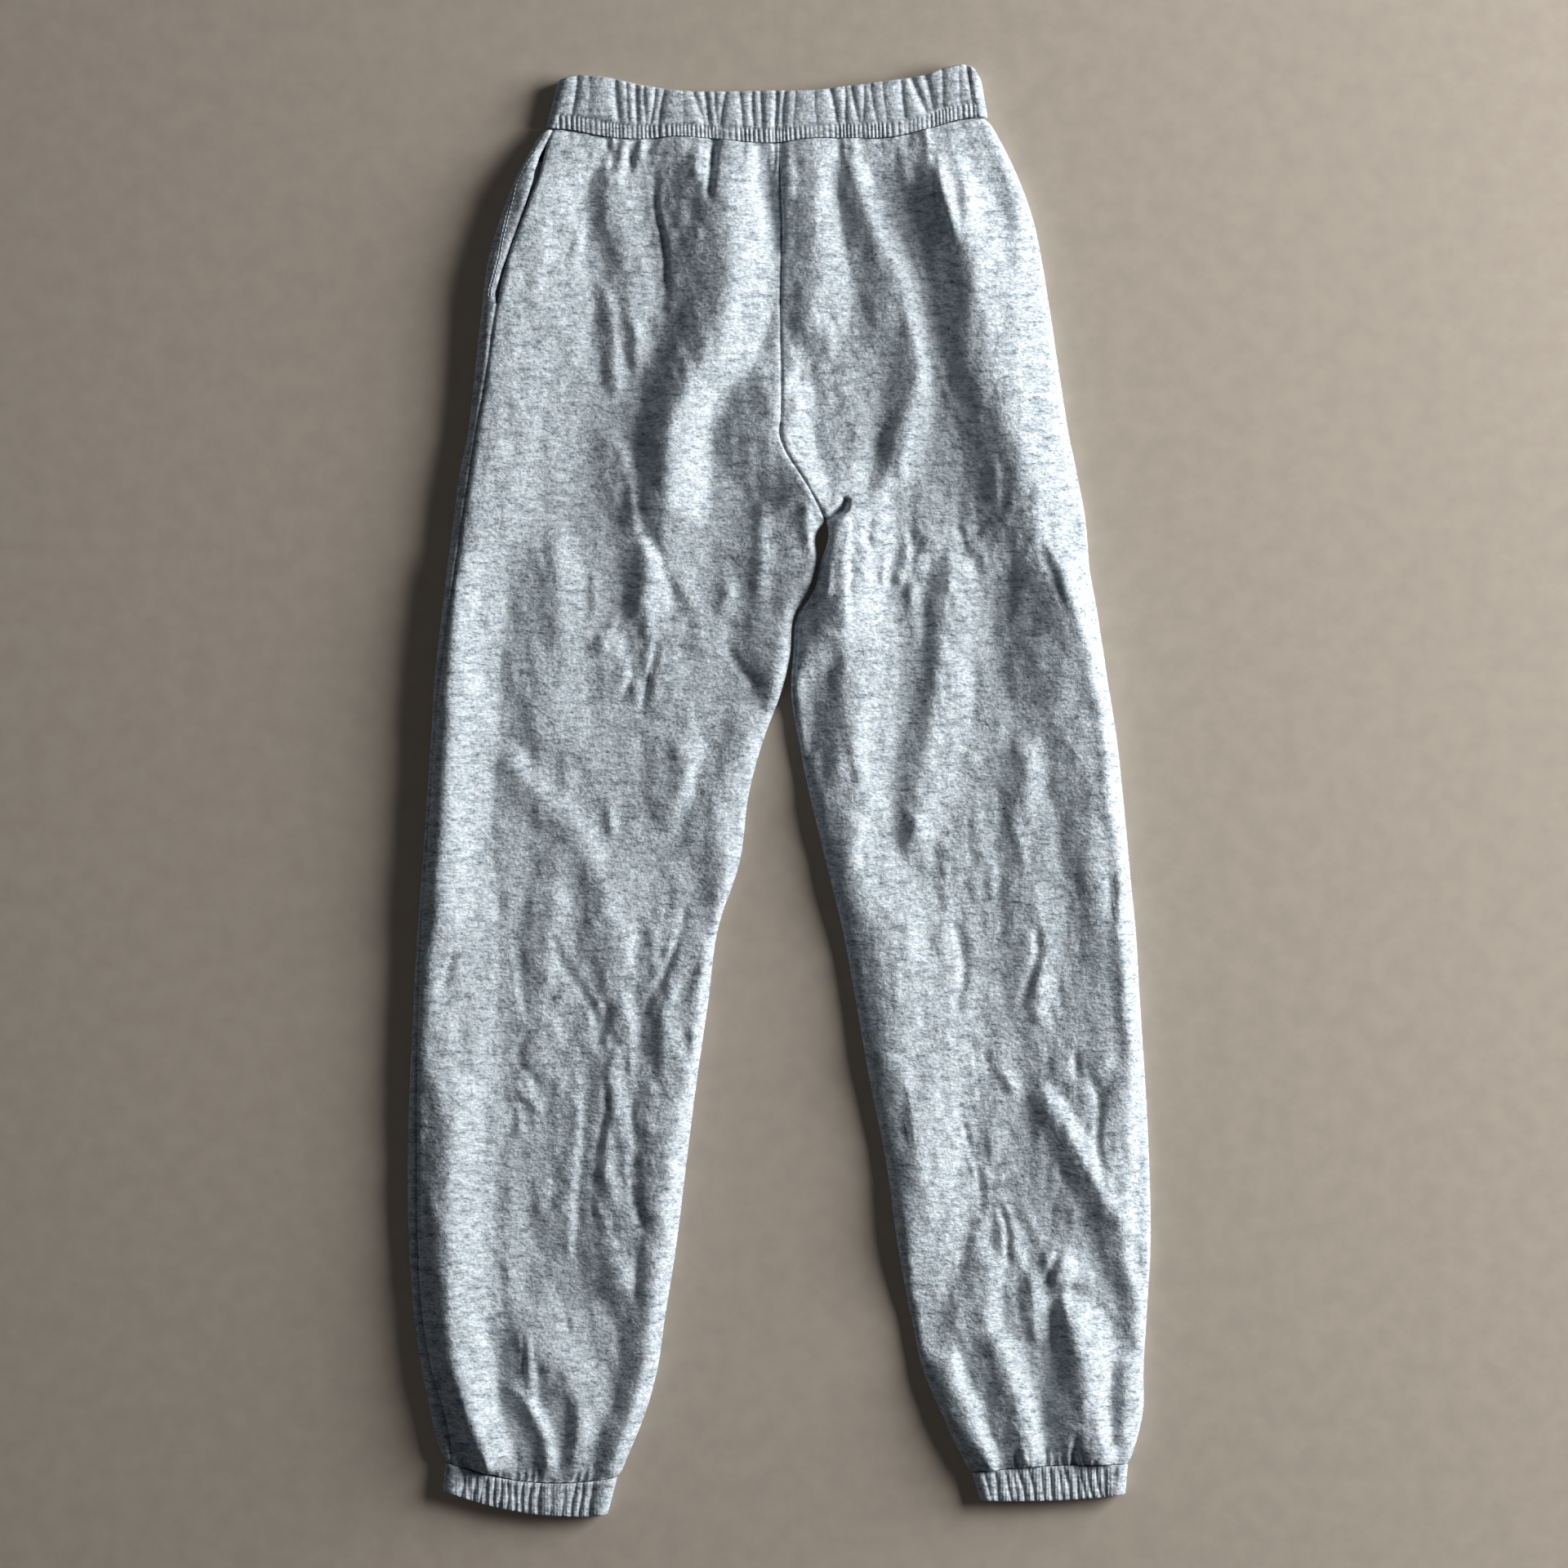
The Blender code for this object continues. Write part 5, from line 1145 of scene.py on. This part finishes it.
def melange(name, tone):
    """Grey melange fleece: pale cloth with short darker streaks along the knit's courses."""
    material, tree, shader = new_material(name, 0.95)
    set_inputs(shader, {"Sheen Weight": 0.12, "Sheen Roughness": 0.6})
    fine = noise(tree, STREAK, 4.0, 0.7)
    broad = noise(tree, tuple(s * BROAD_STREAK for s in STREAK), 2.0, 0.55)
    pale, grey, dark = (tuple(tone * c for c in colour) for colour in (PALE, GREY, DARK))
    mix = tree.nodes.new("ShaderNodeMix")
    mix.data_type = "RGBA"
    mix.inputs[0].default_value = BROAD_SHARE
    first = ramp(tree, fine, [(0.36, dark), (0.46, grey), (0.56, pale), (0.75, pale)])
    second = ramp(tree, broad, [(0.30, dark), (0.44, grey), (0.60, pale), (0.8, pale)])
    tree.links.new(first, mix.inputs[6])
    tree.links.new(second, mix.inputs[7])
    tree.links.new(mix.outputs[2], shader.inputs["Base Color"])
    below = None
    for scale, roughness, distance, strength in FLEECE_BUMPS:
        bump = tree.nodes.new("ShaderNodeBump")
        set_inputs(bump, {"Distance": distance, "Strength": strength})
        tree.links.new(noise(tree, scale, 2.0, roughness), bump.inputs["Height"])
        if below:
            tree.links.new(below, bump.inputs["Normal"])
        below = bump.outputs["Normal"]
    tree.links.new(below, shader.inputs["Normal"])
    return material


def speckled(name, low, high, scale, roughness):
    material, tree, shader = new_material(name, roughness)
    speckle = noise(tree, (scale, scale, scale), 3.0, 0.6)
    tree.links.new(ramp(tree, speckle, [(0.35, low), (0.65, high)]), shader.inputs["Base Color"])
    return material


FLEECE_CLOTH = melange("melange_fleece", 0.96)
BAND_CLOTH = melange("melange_band", 0.91)
BAG = speckled("pocket_jersey", (0.16, 0.18, 0.20), (0.30, 0.33, 0.36), 900.0, 0.95)
THREAD = speckled("thread", (0.60, 0.66, 0.70), (0.72, 0.78, 0.82), 1500.0, 0.7)

# ---------------------------------------------------------------- the garment
PANELS = {}
GRIDS = {}
for half in ("left", "right"):
    for side_of in ("back", "front"):
        name = side_of + "_" + half
        PANELS[name], GRIDS[name] = leg_panel(half, side_of, FLEECE_CLOTH)
bag = pocket_bag(BAG)
band = waistband(BAND_CLOTH)
cuffs = {name: cuff(name, BAND_CLOTH) for name in CUFFS}

# Twin rows of topstitching beside the pocket's slit, on the front panel that wraps the edge:
# y along the slit, and how far from it they run there.
TOPSTITCH = np.array([(342, 2.2), (373, 4.0), (390, 7.0), (408, 9.6), (423, 10.8), (436, 7.0),
                      (446, 2.6)])
TWIN_ROW = 1.9
grid = GRIDS["front_left"]
at_row = np.flatnonzero((ROWS > TOPSTITCH[0, 0]) & (ROWS < TOPSTITCH[-1, 0]))
out = grid_normals(grid, "left")
points = []
faces = []
for twin in (0.0, TWIN_ROW):
    away = np.interp(ROWS[at_row], *TOPSTITCH.T) + twin
    share = np.interp(away, EDGE_SPREAD, np.arange(len(EDGE_SPREAD)))
    low, part = share.astype(int), (share % 1)[:, None]
    path, up = (g[at_row, low] * (1 - part) + g[at_row, low + 1] * part for g in (grid, out))
    stitch_row(path + THREAD_LIFT * up, up, points, faces)
add_piece("pocket_topstitch", points, faces, THREAD)

# ---------------------------------------------------------------- floor, light, camera
bpy.ops.mesh.primitive_plane_add(size=8.0, location=(0.0, 0.0, -0.0002))
floor = bpy.context.object
floor.name = "floor"
FLOOR_CLOTH = speckled("floor_beige", (0.425, 0.38, 0.335), (0.46, 0.415, 0.36), 60.0, 0.9)
floor.data.materials.append(FLOOR_CLOTH)
# A little light of its own, in place of what a pale room gives back into the shadows on it.
set_inputs(FLOOR_CLOTH.node_tree.nodes["Principled BSDF"],
           {"Emission Color": (0.9, 0.7, 0.52, 1.0), "Emission Strength": 0.02})


LIGHTS = [
    # name, place, size, power, colour; each is aimed at the origin
    ("window", (2.84, 0.86, 1.20), 1.9, 172.0, (1.0, 0.99, 0.97)),
    ("bounce", (-2.6, 0.7, 1.0), 2.2, 3.0, (0.95, 0.97, 1.0)),
]
for name, place, size, power, colour in LIGHTS:
    light = bpy.data.lights.new(name, "AREA")
    light.size = size
    light.energy = power
    light.color = colour
    item = bpy.data.objects.new(name, light)
    item.location = place
    item.rotation_euler = Vector(place).to_track_quat("Z", "Y").to_euler()
    bpy.context.scene.collection.objects.link(item)

world = bpy.data.worlds.new("soft_room")
world.use_nodes = True
set_inputs(world.node_tree.nodes["Background"],
           {"Color": (0.86, 0.93, 1.0, 1.0), "Strength": 0.038})
bpy.context.scene.world = world
bpy.context.scene.view_settings.view_transform = "Standard"
bpy.context.scene.view_settings.look = "Medium High Contrast"

CAMERA_HEIGHT = 4.0
FRAME_WIDTH = 1.104     # what the image spans at the floor
FRAME_MIDDLE = (0.00345, 0.0049)
SENSOR = 36.0
camera_data = bpy.data.cameras.new("overhead")
camera_data.sensor_width = SENSOR
camera_data.lens = SENSOR * CAMERA_HEIGHT / FRAME_WIDTH
camera = bpy.data.objects.new("overhead", camera_data)
camera.location = (*FRAME_MIDDLE, CAMERA_HEIGHT)
bpy.context.scene.collection.objects.link(camera)
bpy.context.scene.camera = camera
